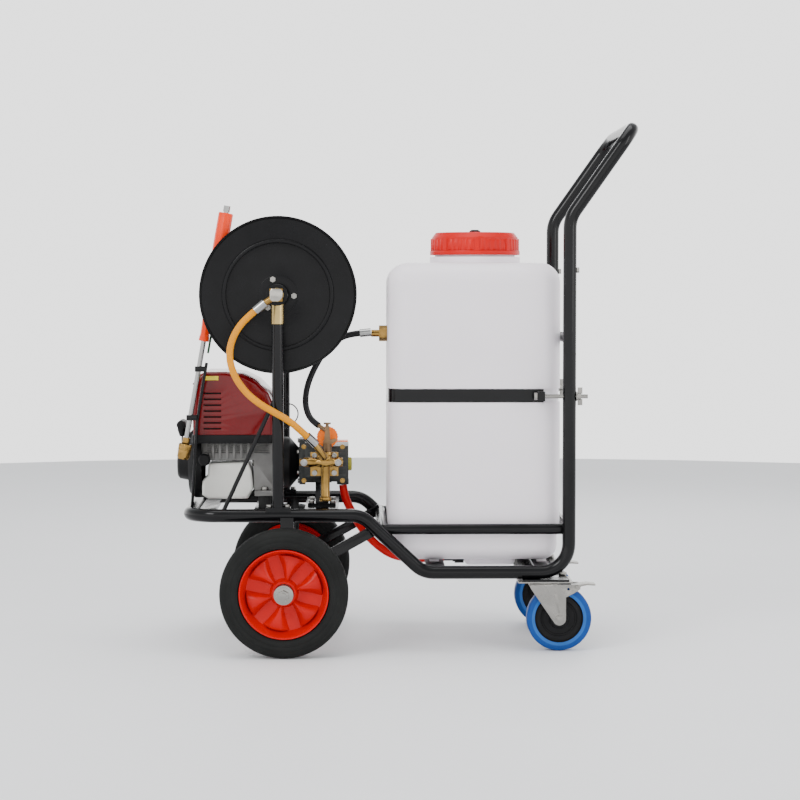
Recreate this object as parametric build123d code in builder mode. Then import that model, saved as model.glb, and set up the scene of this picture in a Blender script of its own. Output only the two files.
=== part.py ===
from build123d import *
import math
import os

os.makedirs("parts", exist_ok=True)

# Wheeled sprayer cart, in millimetres.  +X points to the push handle, +Z up, and the
# origin lies on the floor under the middle of the cart.  "left" is the -Y side.

# ---- Driving dimensions ----------------------------------------------------
tube_radius = 12.7
tube_bore = 10.7
rail_y = 190.0
platform_z = 262.8
lower_z = 153.5
post_x = 315.0
post_top_z = 747.7
bow_x = -411.0
bow_joint_x = -340.0
slope_top_x = -80.8
slope_foot_x = 36.7
handle_bend_z = 828.6
handle_x = 435.7
handle_z = 1000.0

cradle_radius = 10.0
cradle_y = 177.0
cradle_z = 235.0
cradle_front_x = -42.0
upper_brace_z = 600.0
deck_low_z = 258.0
deck_top_z = 266.0

wheel_x = -227.4
wheel_y = 240.0
wheel_z = 121.6
wheel_radius = 121.6
rim_radius = 84.5
hub_half_width = 34.0
hub_radius = 22.5
bearing_radius = 18.5
bearing_width = 11.0
axle_radius = 8.0
thread_radius = 6.0
leg_half_width = 12.5
leg_x = -223.0

caster_radius = 62.5
caster_x = 270.0
caster_y = 165.0
caster_trail = 28.0
caster_plate_top_z = 136.8
caster_core_radius = 46.5

tank_front_x = -30.5
tank_rear_x = 302.0
tank_half_y = 165.0
tank_low_z = 172.0
tank_top_z = 745.0
tank_wall = 4.0
tank_lower_top_z = 246.0
tank_lower_inset = 5.0
mouth_x = 144.0
mouth_radius = 79.0
mouth_bore = 72.0
strap_z = 490.0
strap_half_height = 12.5
strap_thickness = 2.0

reel_x = -241.0
reel_z = 683.0
reel_radius = 151.0
reel_drum_radius = 45.0
reel_shaft_radius = 10.0
reel_post_radius = 11.0
reel_post_x = -240.0
reel_post_top_z = 628.0

crank_axis_z = 350.0
running_gap = 0.05

tank_mid_x = (tank_front_x + tank_rear_x) / 2
tank_length = tank_rear_x - tank_front_x
sides = (("left", -1), ("right", 1))


# ---- Shapes that repeat ----------------------------------------------------
def rod(start, end, radius, bore=0.0, mode=Mode.ADD):
    """Straight round bar, or pipe when it has a bore, between two points."""
    axis = Vector(*end) - Vector(*start)
    with BuildSketch(Plane(origin=start, z_dir=axis)) as section:
        Circle(radius)
        if bore > 0:
            Circle(bore, mode=Mode.SUBTRACT)
    extrude(section.sketch, amount=axis.length, mode=mode)


def bent_tube(points, radii, radius, bore=0.0, mode=Mode.ADD):
    """Round tube along straight runs joined by tangent arcs."""
    with BuildLine() as route:
        FilletPolyline(*points, radius=radii)
    with BuildSketch(Plane(origin=route.line @ 0, z_dir=route.line % 0)) as section:
        Circle(radius)
        if bore > 0:
            Circle(bore, mode=Mode.SUBTRACT)
    sweep(section.sketch, path=route.line, mode=mode)


def block(low, high, mode=Mode.ADD):
    """Box between its lowest and highest corners."""
    centre = [(a + b) / 2 for a, b in zip(low, high)]
    size = [b - a for a, b in zip(low, high)]
    with Locations(tuple(centre)):
        Box(*size, mode=mode)


def turned(profile, origin, direction, mode=Mode.ADD):
    """Solid of revolution from (distance along the axis, radius) points."""
    along = Vector(*direction)
    across = Vector(0, 0, 1) if abs(along.Z) < 0.9 else Vector(1, 0, 0)
    with BuildSketch(Plane(origin=origin, x_dir=along, z_dir=along.cross(across))) as section:
        with BuildLine():
            Polyline(*profile, close=True)
        make_face()
    revolve(section.sketch, axis=Axis(origin, direction), mode=mode)


def ring(origin, direction, outer, inner, length, mode=Mode.ADD):
    """Flat-ended ring or, with no inner radius, disc."""
    end = Vector(*origin) + Vector(*direction) * length
    rod(origin, tuple(end), outer, inner, mode)


def hexagon(origin, direction, across_flats, length, mode=Mode.ADD):
    """Hexagonal nut, bolt head or fitting body."""
    with BuildSketch(Plane(origin=origin, z_dir=direction)) as section:
        RegularPolygon(radius=across_flats / 2, side_count=6, major_radius=False)
    extrude(section.sketch, amount=length, mode=mode)


def side_outline(points, low_y, high_y, mode=Mode.ADD):
    """Plate or block with an outline of (x, z) points, between two values of y."""
    with BuildSketch(Plane.XZ.offset(-high_y)) as section:
        with BuildLine():
            Polyline(*points, close=True)
        make_face()
    extrude(section.sketch, amount=high_y - low_y, mode=mode)


def end_outline(points, low_x, high_x, mode=Mode.ADD):
    """Plate or block with an outline of (y, z) points, between two values of x."""
    with BuildSketch(Plane.YZ.offset(low_x)) as section:
        with BuildLine():
            Polyline(*points, close=True)
        make_face()
    extrude(section.sketch, amount=high_x - low_x, mode=mode)


def rounded_prism(low, high, corner, mode=Mode.ADD):
    """Upright block with rounded vertical edges."""
    with BuildSketch(Plane.XY.offset(low[2])) as section:
        with Locations(((low[0] + high[0]) / 2, (low[1] + high[1]) / 2)):
            RectangleRounded(high[0] - low[0], high[1] - low[1], corner)
    extrude(section.sketch, amount=high[2] - low[2], mode=mode)


# ---- Frame -----------------------------------------------------------------
def rail_points(y):
    """Side rail: platform run, slope, lower run and upright post."""
    return [
        (bow_joint_x, y, platform_z),
        (slope_top_x, y, platform_z),
        (slope_foot_x, y, lower_z),
        (post_x, y, lower_z),
        (post_x, y, post_top_z),
    ]


def bow_points():
    """Front bow between the two side rails."""
    return [
        (bow_joint_x, -rail_y, platform_z),
        (bow_x, -rail_y, platform_z),
        (bow_x, rail_y, platform_z),
        (bow_joint_x, rail_y, platform_z),
    ]


rail_radii = [50, 50, 54]
bow_radii = [55, 55]
handle_points = [
    (post_x, -rail_y, post_top_z),
    (post_x, -rail_y, handle_bend_z),
    (handle_x, -rail_y, handle_z),
    (handle_x, rail_y, handle_z),
    (post_x, rail_y, handle_bend_z),
    (post_x, rail_y, post_top_z),
]
handle_radii = [60, 42, 42, 60]
strap_rod_radius = 4.0
strap_rod_y = 190.0
leg_low_z = 102.0
strut_half = 10.0
strut_y = 167.0

# Solid outlines of the main tubes, which trim whatever is welded to them.
with BuildPart() as tube_outline:
    for y in (-rail_y, rail_y):
        bent_tube(rail_points(y), rail_radii, tube_radius)
    bent_tube(bow_points(), bow_radii, tube_radius)

for side, sign in sides:
    with BuildPart() as side_rail:
        bent_tube(rail_points(sign * rail_y), rail_radii, tube_radius, tube_bore)
        rod((post_x - 20, sign * strap_rod_y, strap_z), (post_x + 20, sign * strap_rod_y, strap_z),
            strap_rod_radius + 0.2, mode=Mode.SUBTRACT)
    side_rail.part.label = f"side_rail_{side}"
    export_step(side_rail.part, f"parts/side_rail_{side}.step")

with BuildPart() as front_bow:
    bent_tube(bow_points(), bow_radii, tube_radius, tube_bore)
front_bow.part.label = "front_bow"
export_step(front_bow.part, "parts/front_bow.step")

with BuildPart() as handle_tube:
    bent_tube(handle_points, handle_radii, tube_radius, tube_bore)
handle_tube.part.label = "handle_tube"
export_step(handle_tube.part, "parts/handle_tube.step")

# Deck bars carry the engine and pump, square legs with struts carry the axle, and
# a plate under the lower rails carries both casters.
deck_bars_x = ((-396, -366), (-290, -252), (-192, -127))
caster_plate_half_x = 45.0
bolt_spread_x = 76.0
bolt_spread_y = 50.0
screw_radius = 4.0
strut_foot = (-222.0, 141.0)
strut_head = (cradle_front_x, 241.0)
strut_run = math.dist(strut_foot, strut_head)
strut_slope = math.degrees(math.atan2(strut_head[1] - strut_foot[1], strut_head[0] - strut_foot[0]))

with BuildPart() as cradle_outline:
    rod((cradle_front_x, -rail_y, cradle_z), (cradle_front_x, rail_y, cradle_z), cradle_radius + 0.5)
    for sign in (-1, 1):
        rod((cradle_front_x, sign * cradle_y, cradle_z), (post_x, sign * cradle_y, cradle_z), cradle_radius)

with BuildPart() as platform_frame:
    for low_x, high_x in deck_bars_x:
        block((low_x, -180, deck_low_z), (high_x, 180, deck_top_z))
    for sign in (-1, 1):
        block((leg_x - leg_half_width, sign * rail_y - leg_half_width, leg_low_z),
              (leg_x + leg_half_width, sign * rail_y + leg_half_width, platform_z - 3))
        with Locations(Location(((strut_foot[0] + strut_head[0]) / 2, sign * strut_y,
                                 (strut_foot[1] + strut_head[1]) / 2), (0, -strut_slope, 0))):
            Box(strut_run, 2 * strut_half, 2 * strut_half)
        rod((leg_x, sign * (strut_y - 10), strut_foot[1]), (leg_x, sign * (rail_y), strut_foot[1]), 9)
    add(tube_outline.part, mode=Mode.SUBTRACT)
    add(cradle_outline.part, mode=Mode.SUBTRACT)
    rod((wheel_x, -rail_y - 20, wheel_z), (wheel_x, rail_y + 20, wheel_z), axle_radius, mode=Mode.SUBTRACT)
    for sign in (-1, 1):
        block((leg_x - 30, sign * rail_y - 14, platform_z),
              (leg_x + 30, sign * rail_y + 14, platform_z + 20), mode=Mode.SUBTRACT)
    block((caster_x - caster_plate_half_x, -208, caster_plate_top_z),
          (caster_x + caster_plate_half_x, 208, caster_plate_top_z + 4))
    for sign in (-1, 1):
        with Locations((caster_x, sign * caster_y, caster_plate_top_z)):
            with GridLocations(bolt_spread_x, bolt_spread_y, 2, 2):
                Cylinder(screw_radius + 0.1, 20, mode=Mode.SUBTRACT)
platform_frame.part.label = "platform_frame"
export_step(platform_frame.part, "parts/platform_frame.step")

# The cradle is a ring of tube round the foot of the tank, with flat bars under it.
ledge_x = (60.0, 268.0)
ledge_half = 18.0
with BuildPart() as tank_cradle:
    add(cradle_outline.part)
    for z in (cradle_z, upper_brace_z):
        rod((post_x, -rail_y, z), (post_x, rail_y, z), cradle_radius - 0.5)
    block((ledge_x[1] - ledge_half, -184, 160), (ledge_x[1] + ledge_half, 184, tank_low_z - 6))
    for sign in (-1, 1):
        block((ledge_x[0] - ledge_half, sign * 122 - 62, 160),
              (ledge_x[0] + ledge_half, sign * 122 + 62, 166))
    add(tube_outline.part, mode=Mode.SUBTRACT)
tank_cradle.part.label = "tank_cradle"
export_step(tank_cradle.part, "parts/tank_cradle.step")

# Two posts carry the reel, each with a round-bar brace.
brace_foot = (-343.0, 274.0)
brace_head = (reel_post_x - 7, 482.0)
post_foot_z = platform_z + tube_radius - 4
with BuildPart() as reel_posts:
    for sign in (-1, 1):
        y = sign * rail_y
        rod((reel_post_x, y, post_foot_z), (reel_post_x, y, reel_post_top_z), reel_post_radius)
        rod((brace_foot[0], y, brace_foot[1]), (brace_head[0], y, brace_head[1]), 4)
        block((reel_post_x - 24, y - 12, platform_z + 4), (reel_post_x + 24, y + 12, platform_z + 16))
    add(tube_outline.part, mode=Mode.SUBTRACT)
    for sign in (-1, 1):
        block((reel_post_x - 30, sign * rail_y - 13, platform_z - 20),
              (reel_post_x + 30, sign * rail_y + 13, platform_z + 7), mode=Mode.SUBTRACT)
reel_posts.part.label = "reel_posts"
export_step(reel_posts.part, "parts/reel_posts.step")

# ---- Front wheels ----------------------------------------------------------
spoke_count = 6
rim_inner_radius = 72.0
rim_half_width = 29.0
rim_seat_radius = 80.0
hub_face = wheel_y + hub_half_width
with BuildPart() as wheel_axle:
    rod((wheel_x, -hub_face - 0.4, wheel_z), (wheel_x, hub_face + 0.4, wheel_z), axle_radius)
    rod((wheel_x, -hub_face - 17, wheel_z), (wheel_x, hub_face + 17, wheel_z), thread_radius)
    for sign in (-1, 1):
        out = (0, sign, 0)
        ring((wheel_x, sign * (rail_y + leg_half_width), wheel_z), out, 14, axle_radius, 3)
        ring((wheel_x, sign * (hub_face + 0.4), wheel_z), out, 15, thread_radius, 2.6)
        hexagon((wheel_x, sign * (hub_face + 3), wheel_z), out, 19, 10)
        for start in (wheel_y - hub_half_width, hub_face - bearing_width):
            ring((wheel_x, sign * start, wheel_z), out, bearing_radius - running_gap, axle_radius,
                 bearing_width)
wheel_axle.part.label = "wheel_axle"
export_step(wheel_axle.part, "parts/wheel_axle.step")

tyre_profile = [
    (-26, rim_seat_radius), (26, rim_seat_radius), (26, rim_radius), (29.5, rim_radius + 1),
    (30.2, 93), (29.4, 93.6), (29.4, 95), (30.6, 96), (31, 104), (30.6, 111), (29, 116), (25.5, 120),
    (20, wheel_radius), (-20, wheel_radius), (-25.5, 120), (-29, 116), (-30.6, 111), (-31, 104), (-30.6, 96),
    (-29.4, 95), (-29.4, 93.6), (-30.2, 93), (-29.5, rim_radius + 1), (-26, rim_radius),
]
rim_profile = [
    (-rim_half_width, rim_inner_radius + 2), (-rim_half_width, rim_radius), (-26, rim_radius),
    (-26, rim_seat_radius), (26, rim_seat_radius), (26, rim_radius), (rim_half_width, rim_radius),
    (rim_half_width, rim_inner_radius + 3), (12, rim_inner_radius), (-12, rim_inner_radius),
]
for side, sign in sides:
    hub_start = (wheel_x, sign * (wheel_y - hub_half_width), wheel_z)
    hub_end = (wheel_x, sign * (wheel_y + hub_half_width), wheel_z)
    out = (0, sign, 0)
    with BuildPart() as tyre:
        turned(tyre_profile, (wheel_x, sign * wheel_y, wheel_z), out)
    tyre.part.label = f"tyre_{side}"
    export_step(tyre.part, f"parts/tyre_{side}.step")

    with BuildPart() as rim:
        turned(rim_profile, (wheel_x, sign * wheel_y, wheel_z), out)
        rod(hub_start, hub_end, hub_radius)
        ring((wheel_x, sign * (wheel_y - 9), wheel_z), out, rim_inner_radius + 2, 0, 4)
        for index in range(spoke_count):
            angle = math.radians(13 + index * 360 / spoke_count)
            spoke_plane = Plane(origin=(wheel_x, sign * (wheel_y - 6), wheel_z), z_dir=out,
                                x_dir=(math.cos(angle), 0, math.sin(angle)))
            with BuildSketch(spoke_plane) as spoke:
                with BuildLine():
                    Polyline((18, -5), (rim_inner_radius + 2, -16), (rim_inner_radius + 2, 12), (18, 6),
                             close=True)
                make_face()
            extrude(spoke.sketch, amount=17)
        rod(hub_start, hub_end, axle_radius + 3, mode=Mode.SUBTRACT)
        ring(hub_start, out, bearing_radius, 0, bearing_width, mode=Mode.SUBTRACT)
        ring((wheel_x, sign * (hub_face - bearing_width), wheel_z), out, bearing_radius, 0, bearing_width,
             mode=Mode.SUBTRACT)
    rim.part.label = f"rim_{side}"
    export_step(rim.part, f"parts/rim_{side}.step")

# ---- Casters ---------------------------------------------------------------
caster_axle_x = caster_x + caster_trail
fork_inner = 19.0
fork_outer = 21.5
kingpin_radius = 6.0
pedal_pivot = (331.0, 124.0)
pedal_pin_radius = 3.0
crown_top_z = 128.6
fork_outline = [
    (241, crown_top_z), (338, crown_top_z), (338, 120), (326, 112), (310.5, 104), (310.5, 62.5),
    (286.6, 57.2), (243, 121),
]

with BuildPart() as caster_plates:
    for sign in (-1, 1):
        y = sign * caster_y
        block((caster_x - 52, y - 40, caster_plate_top_z - 3), (caster_x + 52, y + 40, caster_plate_top_z))
        ring((caster_x, y, crown_top_z + 1.7), (0, 0, 1), 27, 0, caster_plate_top_z - crown_top_z - 4)
        ring((caster_x, y, 121.2), (0, 0, 1), kingpin_radius, 0, 11)
        for dx in (-bolt_spread_x / 2, bolt_spread_x / 2):
            for dy in (-bolt_spread_y / 2, bolt_spread_y / 2):
                turned([(0, 0), (0, 7), (3, screw_radius), (15, screw_radius), (15, 0)],
                       (caster_x + dx, y + dy, caster_plate_top_z - 3), (0, 0, 1), mode=Mode.SUBTRACT)
caster_plates.part.label = "caster_plates"
export_step(caster_plates.part, "parts/caster_plates.step")

for side, sign in sides:
    y = sign * caster_y
    with BuildPart() as caster_fork:
        for low_y, high_y in ((-fork_outer, -fork_inner), (fork_inner, fork_outer)):
            side_outline(fork_outline, y + low_y, y + high_y)
            ring((caster_axle_x, y + low_y, caster_radius), (0, 1, 0), 12.5, 0, high_y - low_y)
        block((caster_x - 26, y - fork_outer, crown_top_z - 2.2),
              (caster_x + 20, y + fork_outer, crown_top_z))
        ring((caster_x, y, crown_top_z - 2.2), (0, 0, 1), 30, 0, 3.6)
        ring((caster_x, y, 110), (0, 0, 1), kingpin_radius + running_gap, 0, 20, mode=Mode.SUBTRACT)
        rod((pedal_pivot[0], y - fork_outer - 1, pedal_pivot[1]),
            (pedal_pivot[0], y + fork_outer + 1, pedal_pivot[1]), pedal_pin_radius + running_gap,
            mode=Mode.SUBTRACT)
        rod((315, y - fork_outer - 1, 120), (315, y + fork_outer + 1, 120), 2.5, mode=Mode.SUBTRACT)
        rod((caster_axle_x, y - fork_outer - 7, caster_radius),
            (caster_axle_x, y + fork_outer + 7, caster_radius), 5)
        for bolt_side in (-1, 1):
            hexagon((caster_axle_x, y + bolt_side * fork_outer, caster_radius), (0, bolt_side, 0), 13, 5)
    caster_fork.part.label = f"caster_fork_{side}"
    export_step(caster_fork.part, f"parts/caster_fork_{side}.step")

    with BuildPart() as brake_pedal:
        side_outline([(327, 121), (335, 119), (340, 124.6), (352, 127), (367, 126), (367.5, 128.4),
                      (353, 130), (339, 128.5), (322, 126.5)], y - 17, y + 17)
        rod((pedal_pivot[0], y - fork_outer - 2, pedal_pivot[1]),
            (pedal_pivot[0], y + fork_outer + 2, pedal_pivot[1]), pedal_pin_radius)
    brake_pedal.part.label = f"brake_pedal_{side}"
    export_step(brake_pedal.part, f"parts/brake_pedal_{side}.step")

    with BuildPart() as caster_tread:
        turned([(-15, caster_core_radius), (15, caster_core_radius), (15, 54), (13, 59), (9, 61.6),
                (0, caster_radius), (-9, 61.6), (-13, 59), (-15, 54)],
               (caster_axle_x, y, caster_radius), (0, 1, 0))
    caster_tread.part.label = f"caster_tread_{side}"
    export_step(caster_tread.part, f"parts/caster_tread_{side}.step")

    with BuildPart() as caster_core:
        turned([(-18, 5 + running_gap), (18, 5 + running_gap), (18, 15), (8, 18), (7, 38), (14, 42),
                (14, caster_core_radius), (-14, caster_core_radius), (-14, 42), (-7, 38), (-8, 18),
                (-18, 15)], (caster_axle_x, y, caster_radius), (0, 1, 0))
    caster_core.part.label = f"caster_core_{side}"
    export_step(caster_core.part, f"parts/caster_core_{side}.step")

# ---- Tank ------------------------------------------------------------------
groove_depth = 2.5
neck_low_z = 740.0
collar_top_z = 757.0
lid_flange_radius = 89.0
lid_radius = 86.0
lid_top_z = 805.0
sump_x = (122.0, 222.0)
sump_low_z = 150.0
outlet_z = 160.5
outlet_y = -15.0
return_y = -40.0
return_z = 607.0


def tank_form(inset):
    """Blow-moulded body: a tall upper body over a slightly narrower foot."""
    low_x = tank_front_x + inset
    high_x = tank_rear_x - inset
    half_y = tank_half_y - inset
    with BuildPart() as upper:
        rounded_prism((low_x, -half_y, tank_lower_top_z - 14 + inset),
                      (high_x, half_y, tank_top_z - inset), 34 - inset)
        fillet(upper.faces().sort_by(Axis.Z)[-1].edges(), 40 - inset)
        fillet(upper.faces().sort_by(Axis.Z)[0].edges(), 6 - inset / 2)
    with BuildPart() as foot:
        rounded_prism((low_x + tank_lower_inset, -half_y + tank_lower_inset, tank_low_z + inset),
                      (high_x - tank_lower_inset, half_y - tank_lower_inset, 300), 30 - inset)
        fillet(foot.faces().sort_by(Axis.Z)[0].edges(), 28 - inset)
    with BuildPart() as sump:
        rounded_prism((sump_x[0] + inset, -55 + inset, sump_low_z + inset),
                      (sump_x[1] - inset, 55 - inset, 240), 14 - inset)
        fillet(sump.faces().sort_by(Axis.Z)[0].edges(), 8 - inset)
    return upper.part + foot.part + sump.part


tank_outside = tank_form(0)
tank_inside = tank_form(tank_wall)

with BuildPart() as tank_shell:
    add(tank_outside)
    with BuildSketch(Plane.XY.offset(strap_z - strap_half_height - 1)) as groove:
        with Locations((tank_mid_x, 0)):
            Rectangle(tank_length + 20, 2 * tank_half_y + 20)
            RectangleRounded(tank_length - 2 * groove_depth, 2 * (tank_half_y - groove_depth),
                             34 - groove_depth, mode=Mode.SUBTRACT)
    extrude(groove.sketch, amount=2 * strap_half_height + 2, mode=Mode.SUBTRACT)
    ring((mouth_x, 0, neck_low_z), (0, 0, 1), lid_flange_radius, 0, collar_top_z - neck_low_z)
    ring((mouth_x, 0, neck_low_z), (0, 0, 1), mouth_radius, 0, lid_top_z - 9 - neck_low_z)
    for x in ledge_x:
        for sign in (-1, 1):
            block((x - 9, sign * 95 - 25, tank_low_z - 6), (x + 9, sign * 95 + 25, tank_low_z + 2))
    add(tank_inside, mode=Mode.SUBTRACT)
    ring((mouth_x, 0, neck_low_z - 20), (0, 0, 1), mouth_bore, 0, 90, mode=Mode.SUBTRACT)
    rod((sump_x[0] - 5, outlet_y, outlet_z), (sump_x[0] + 20, outlet_y, outlet_z), 6, mode=Mode.SUBTRACT)
    rod((tank_front_x - 5, return_y, return_z), (tank_front_x + 10, return_y, return_z), 8,
        mode=Mode.SUBTRACT)
tank_shell.part.label = "tank_shell"
export_step(tank_shell.part, "parts/tank_shell.step")

# Screw lid: grip flange, ribbed skirt and chamfered crown over the neck.
lid_clearance = 0.4
lid_profile = [
    (0, mouth_radius + lid_clearance), (0, lid_flange_radius), (8, lid_flange_radius), (8, lid_radius),
    (34, lid_radius - 1), (44, 77.5), (44, 8), (40, 8), (40, mouth_radius + lid_clearance),
]
rib_count = 8
with BuildPart() as tank_lid:
    turned(lid_profile, (mouth_x, 0, lid_top_z - 44), (0, 0, 1))
    with Locations((mouth_x, 0, lid_top_z - 24)):
        with PolarLocations(lid_radius, rib_count, start_angle=-90):
            Box(3, 9, 24)
    ring((mouth_x, 0, neck_low_z), (0, 0, 1), mouth_radius + lid_clearance, 0,
         lid_top_z - 4 - neck_low_z, mode=Mode.SUBTRACT)
tank_lid.part.label = "tank_lid"
export_step(tank_lid.part, "parts/tank_lid.step")

with BuildPart() as lid_vent:
    turned([(-6, 0), (-6, 7.9), (0, 7.9), (0, 11), (3, 11), (6, 7), (6, 0)],
           (mouth_x, 0, lid_top_z), (0, 0, 1))
lid_vent.part.label = "lid_vent"
export_step(lid_vent.part, "parts/lid_vent.step")

# Strainer basket hung by its rim on the neck.
basket_depth = 90.0
basket_radius = 66.0
slot_count = 16
with BuildPart() as filter_basket:
    turned([(0, basket_radius - 2), (0, mouth_radius - 1), (2, mouth_radius - 1), (2, basket_radius - 2)],
           (mouth_x, 0, lid_top_z - 9), (0, 0, 1))
    turned([(0, 0), (0, basket_radius), (basket_depth, basket_radius),
            (basket_depth, basket_radius - 2), (2, basket_radius - 2), (2, 0)],
           (mouth_x, 0, lid_top_z - 9 - basket_depth), (0, 0, 1))
    with BuildSketch(Plane.XY.offset(lid_top_z - basket_depth)) as slots:
        with Locations((mouth_x, 0)):
            with PolarLocations(basket_radius, slot_count):
                Rectangle(10, 14)
    extrude(slots.sketch, amount=60, mode=Mode.SUBTRACT)
filter_basket.part.label = "filter_basket"
export_step(filter_basket.part, "parts/filter_basket.step")

# Flat strap round the tank, pulled tight by a threaded rod through each post.
strap_end_x = 268.0
strap_inner = groove_depth - 0.3
lug_length = 14.0
with BuildPart() as tank_strap:
    with BuildSketch(Plane.XY.offset(strap_z - strap_half_height)) as strap_ring:
        with Locations((tank_mid_x, 0)):
            RectangleRounded(tank_length - 2 * strap_inner + 2 * strap_thickness,
                             2 * (tank_half_y - strap_inner + strap_thickness),
                             34 - strap_inner + strap_thickness)
            RectangleRounded(tank_length - 2 * strap_inner, 2 * (tank_half_y - strap_inner),
                             34 - strap_inner, mode=Mode.SUBTRACT)
    extrude(strap_ring.sketch, amount=2 * strap_half_height)
    block((strap_end_x, -tank_half_y - 20, strap_z - 20), (tank_rear_x + 20, tank_half_y + 20, strap_z + 20),
          mode=Mode.SUBTRACT)
    for sign in (-1, 1):
        inner_y = sign * (tank_half_y - strap_inner + strap_thickness / 2)
        outer_y = sign * (strap_rod_y + 8)
        block((strap_end_x - lug_length, min(inner_y, outer_y), strap_z - 9),
              (strap_end_x, max(inner_y, outer_y), strap_z + 9))
        rod((strap_end_x - 20, sign * strap_rod_y, strap_z), (strap_end_x + 5, sign * strap_rod_y, strap_z),
            strap_rod_radius, mode=Mode.SUBTRACT)
tank_strap.part.label = "tank_strap"
export_step(tank_strap.part, "parts/tank_strap.step")

# Drain outlet on the sump with its knurled nut and hose tail.
with BuildPart() as tank_outlet:
    turned([(-7, 4), (-7, 5.9), (0.2, 5.9), (0.2, 10.8), (18, 10.8), (18, 8), (22, 8), (22, 6.5),
            (40, 6.5), (40, 4)], (sump_x[0], outlet_y, outlet_z), (-1, 0, 0))
tank_outlet.part.label = "tank_outlet"
export_step(tank_outlet.part, "parts/tank_outlet.step")

# ---- Engine ----------------------------------------------------------------
engine_front_x = -395.0
engine_rear_x = -249.0
case_half_y = 52.0
mount_x = -271.0
mount_y = 63.0
mount_top_z = 290.0
shaft_radius = 8.0
shroud_half_y = 92.0
shroud_low_z = 410.0
recoil_z = 350.0
recoil_radius = 70.0
shroud_outline = [
    (-409, 410), (-250, 410), (-249, 462), (-262, 492), (-284, 515), (-312, 529), (-345, 533),
    (-385, 533), (-400, 526), (-408, 508), (-410, 470),
]
shroud_inside = [
    (-405, 409), (-253, 409), (-253, 461), (-265, 490), (-286, 512), (-313, 525), (-345, 529),
    (-384, 529), (-397, 523), (-404, 507), (-406, 470),
]
louvre_count = 7
louvre_pitch = 11.5

with BuildPart() as engine_crankcase:
    block((engine_front_x, -case_half_y, 358), (-293, case_half_y, 394))
    block((-292.9, -case_half_y, 300), (engine_rear_x, case_half_y, 394))
    block((-293, -case_half_y, 358), (-292.9, case_half_y, 394))
    block((mount_x - 19, -mount_y - 16, mount_top_z), (mount_x + 19, mount_y + 16, 300))
    for index in range(6):
        x = -375 + index * 14
        block((x, -case_half_y - 9, 362), (x + 5, -case_half_y, 392))
    rod((-387, -72, 367), (-387, -case_half_y, 367), 7)
    rod((-300, 0, crank_axis_z), (engine_rear_x, 0, crank_axis_z), shaft_radius + running_gap,
        mode=Mode.SUBTRACT)
    for sign in (-1, 1):
        ring((mount_x, sign * mount_y, 288), (0, 0, 1), 4.2, 0, 14, mode=Mode.SUBTRACT)
    ring((-335, 0, 394), (0, 0, 1), 28, 0, 112)
    for index in range(9):
        ring((-335, 0, 416 + index * 10), (0, 0, 1), 42, 28, 3)
engine_crankcase.part.label = "engine_crankcase"
export_step(engine_crankcase.part, "parts/engine_crankcase.step")

# Black covers: band under the shroud, air filter box and bell housing over the clutch.
with BuildPart() as engine_covers:
    rounded_prism((-412, -shroud_half_y - 2, 394.2), (-250.5, shroud_half_y + 2, shroud_low_z), 14)
    ring((-335, 0, 394), (0, 0, 1), 44, 0, 17, mode=Mode.SUBTRACT)
    rod((-420, 0, recoil_z), (engine_front_x + 0.5, 0, recoil_z), recoil_radius + 0.6, mode=Mode.SUBTRACT)
    rounded_prism((-291, 68, 312), (-251, 98, 352), 8)
    block((-284, case_half_y, 318), (-258, 69, 342))
    turned([(0, 44), (0, 52), (26, 50), (45, 28), (45, 24), (40, 24), (23, 44)],
           (engine_rear_x, 0, crank_axis_z), (1, 0, 0))
engine_covers.part.label = "engine_covers"
export_step(engine_covers.part, "parts/engine_covers.step")

with BuildPart() as engine_shroud:
    side_outline(shroud_outline, -shroud_half_y, shroud_half_y)
    fillet(engine_shroud.faces().sort_by(Axis.Y)[0].edges().filter_by(lambda edge: edge.center().Z > 415), 9)
    fillet(engine_shroud.faces().sort_by(Axis.Y)[-1].edges().filter_by(lambda edge: edge.center().Z > 415), 9)
    side_outline(shroud_inside, -shroud_half_y + 4, shroud_half_y - 4, mode=Mode.SUBTRACT)
    rod((-420, 0, recoil_z), (engine_front_x + 0.5, 0, recoil_z), recoil_radius + 0.6, mode=Mode.SUBTRACT)
    for index in range(louvre_count):
        z = 421 + index * louvre_pitch
        for sign in (-1, 1):
            block((-388, sign * (shroud_half_y - 2) - 4, z), (-354, sign * (shroud_half_y - 2) + 4, z + 3),
                  mode=Mode.SUBTRACT)
engine_shroud.part.label = "engine_shroud"
export_step(engine_shroud.part, "parts/engine_shroud.step")

# Recoil starter: cup-shaped cover with a central boss, pulley, rope and T grip.
rope_x = -437.0
rope_radius = 1.6
pulley_radius = 24.0
with BuildPart() as recoil_housing:
    turned([(0, recoil_radius - 4), (0, recoil_radius), (16, recoil_radius), (26, 60), (26, 36), (46, 32),
            (50, 27), (50, 0), (47, 0), (47, 25),
            (44, 29), (23, 33), (23, 57), (14, recoil_radius - 4)], (engine_front_x, 0, recoil_z), (-1, 0, 0))
    rod((rope_x, 0, recoil_z), (rope_x, 0, recoil_z + 50), rope_radius + 0.6, mode=Mode.SUBTRACT)
recoil_housing.part.label = "recoil_housing"
export_step(recoil_housing.part, "parts/recoil_housing.step")

with BuildPart() as starter_grip:
    rod((rope_x, 0, recoil_z - 22), (rope_x, 0, 406), rope_radius)
    turned([(0, 0), (0, 5), (12, 9), (20, 9), (20, 0)], (rope_x, 0, 402), (0, 0, 1))
    rod((rope_x, -32, 426), (rope_x, 32, 426), 8.5)
starter_grip.part.label = "starter_grip"
export_step(starter_grip.part, "parts/starter_grip.step")

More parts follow.
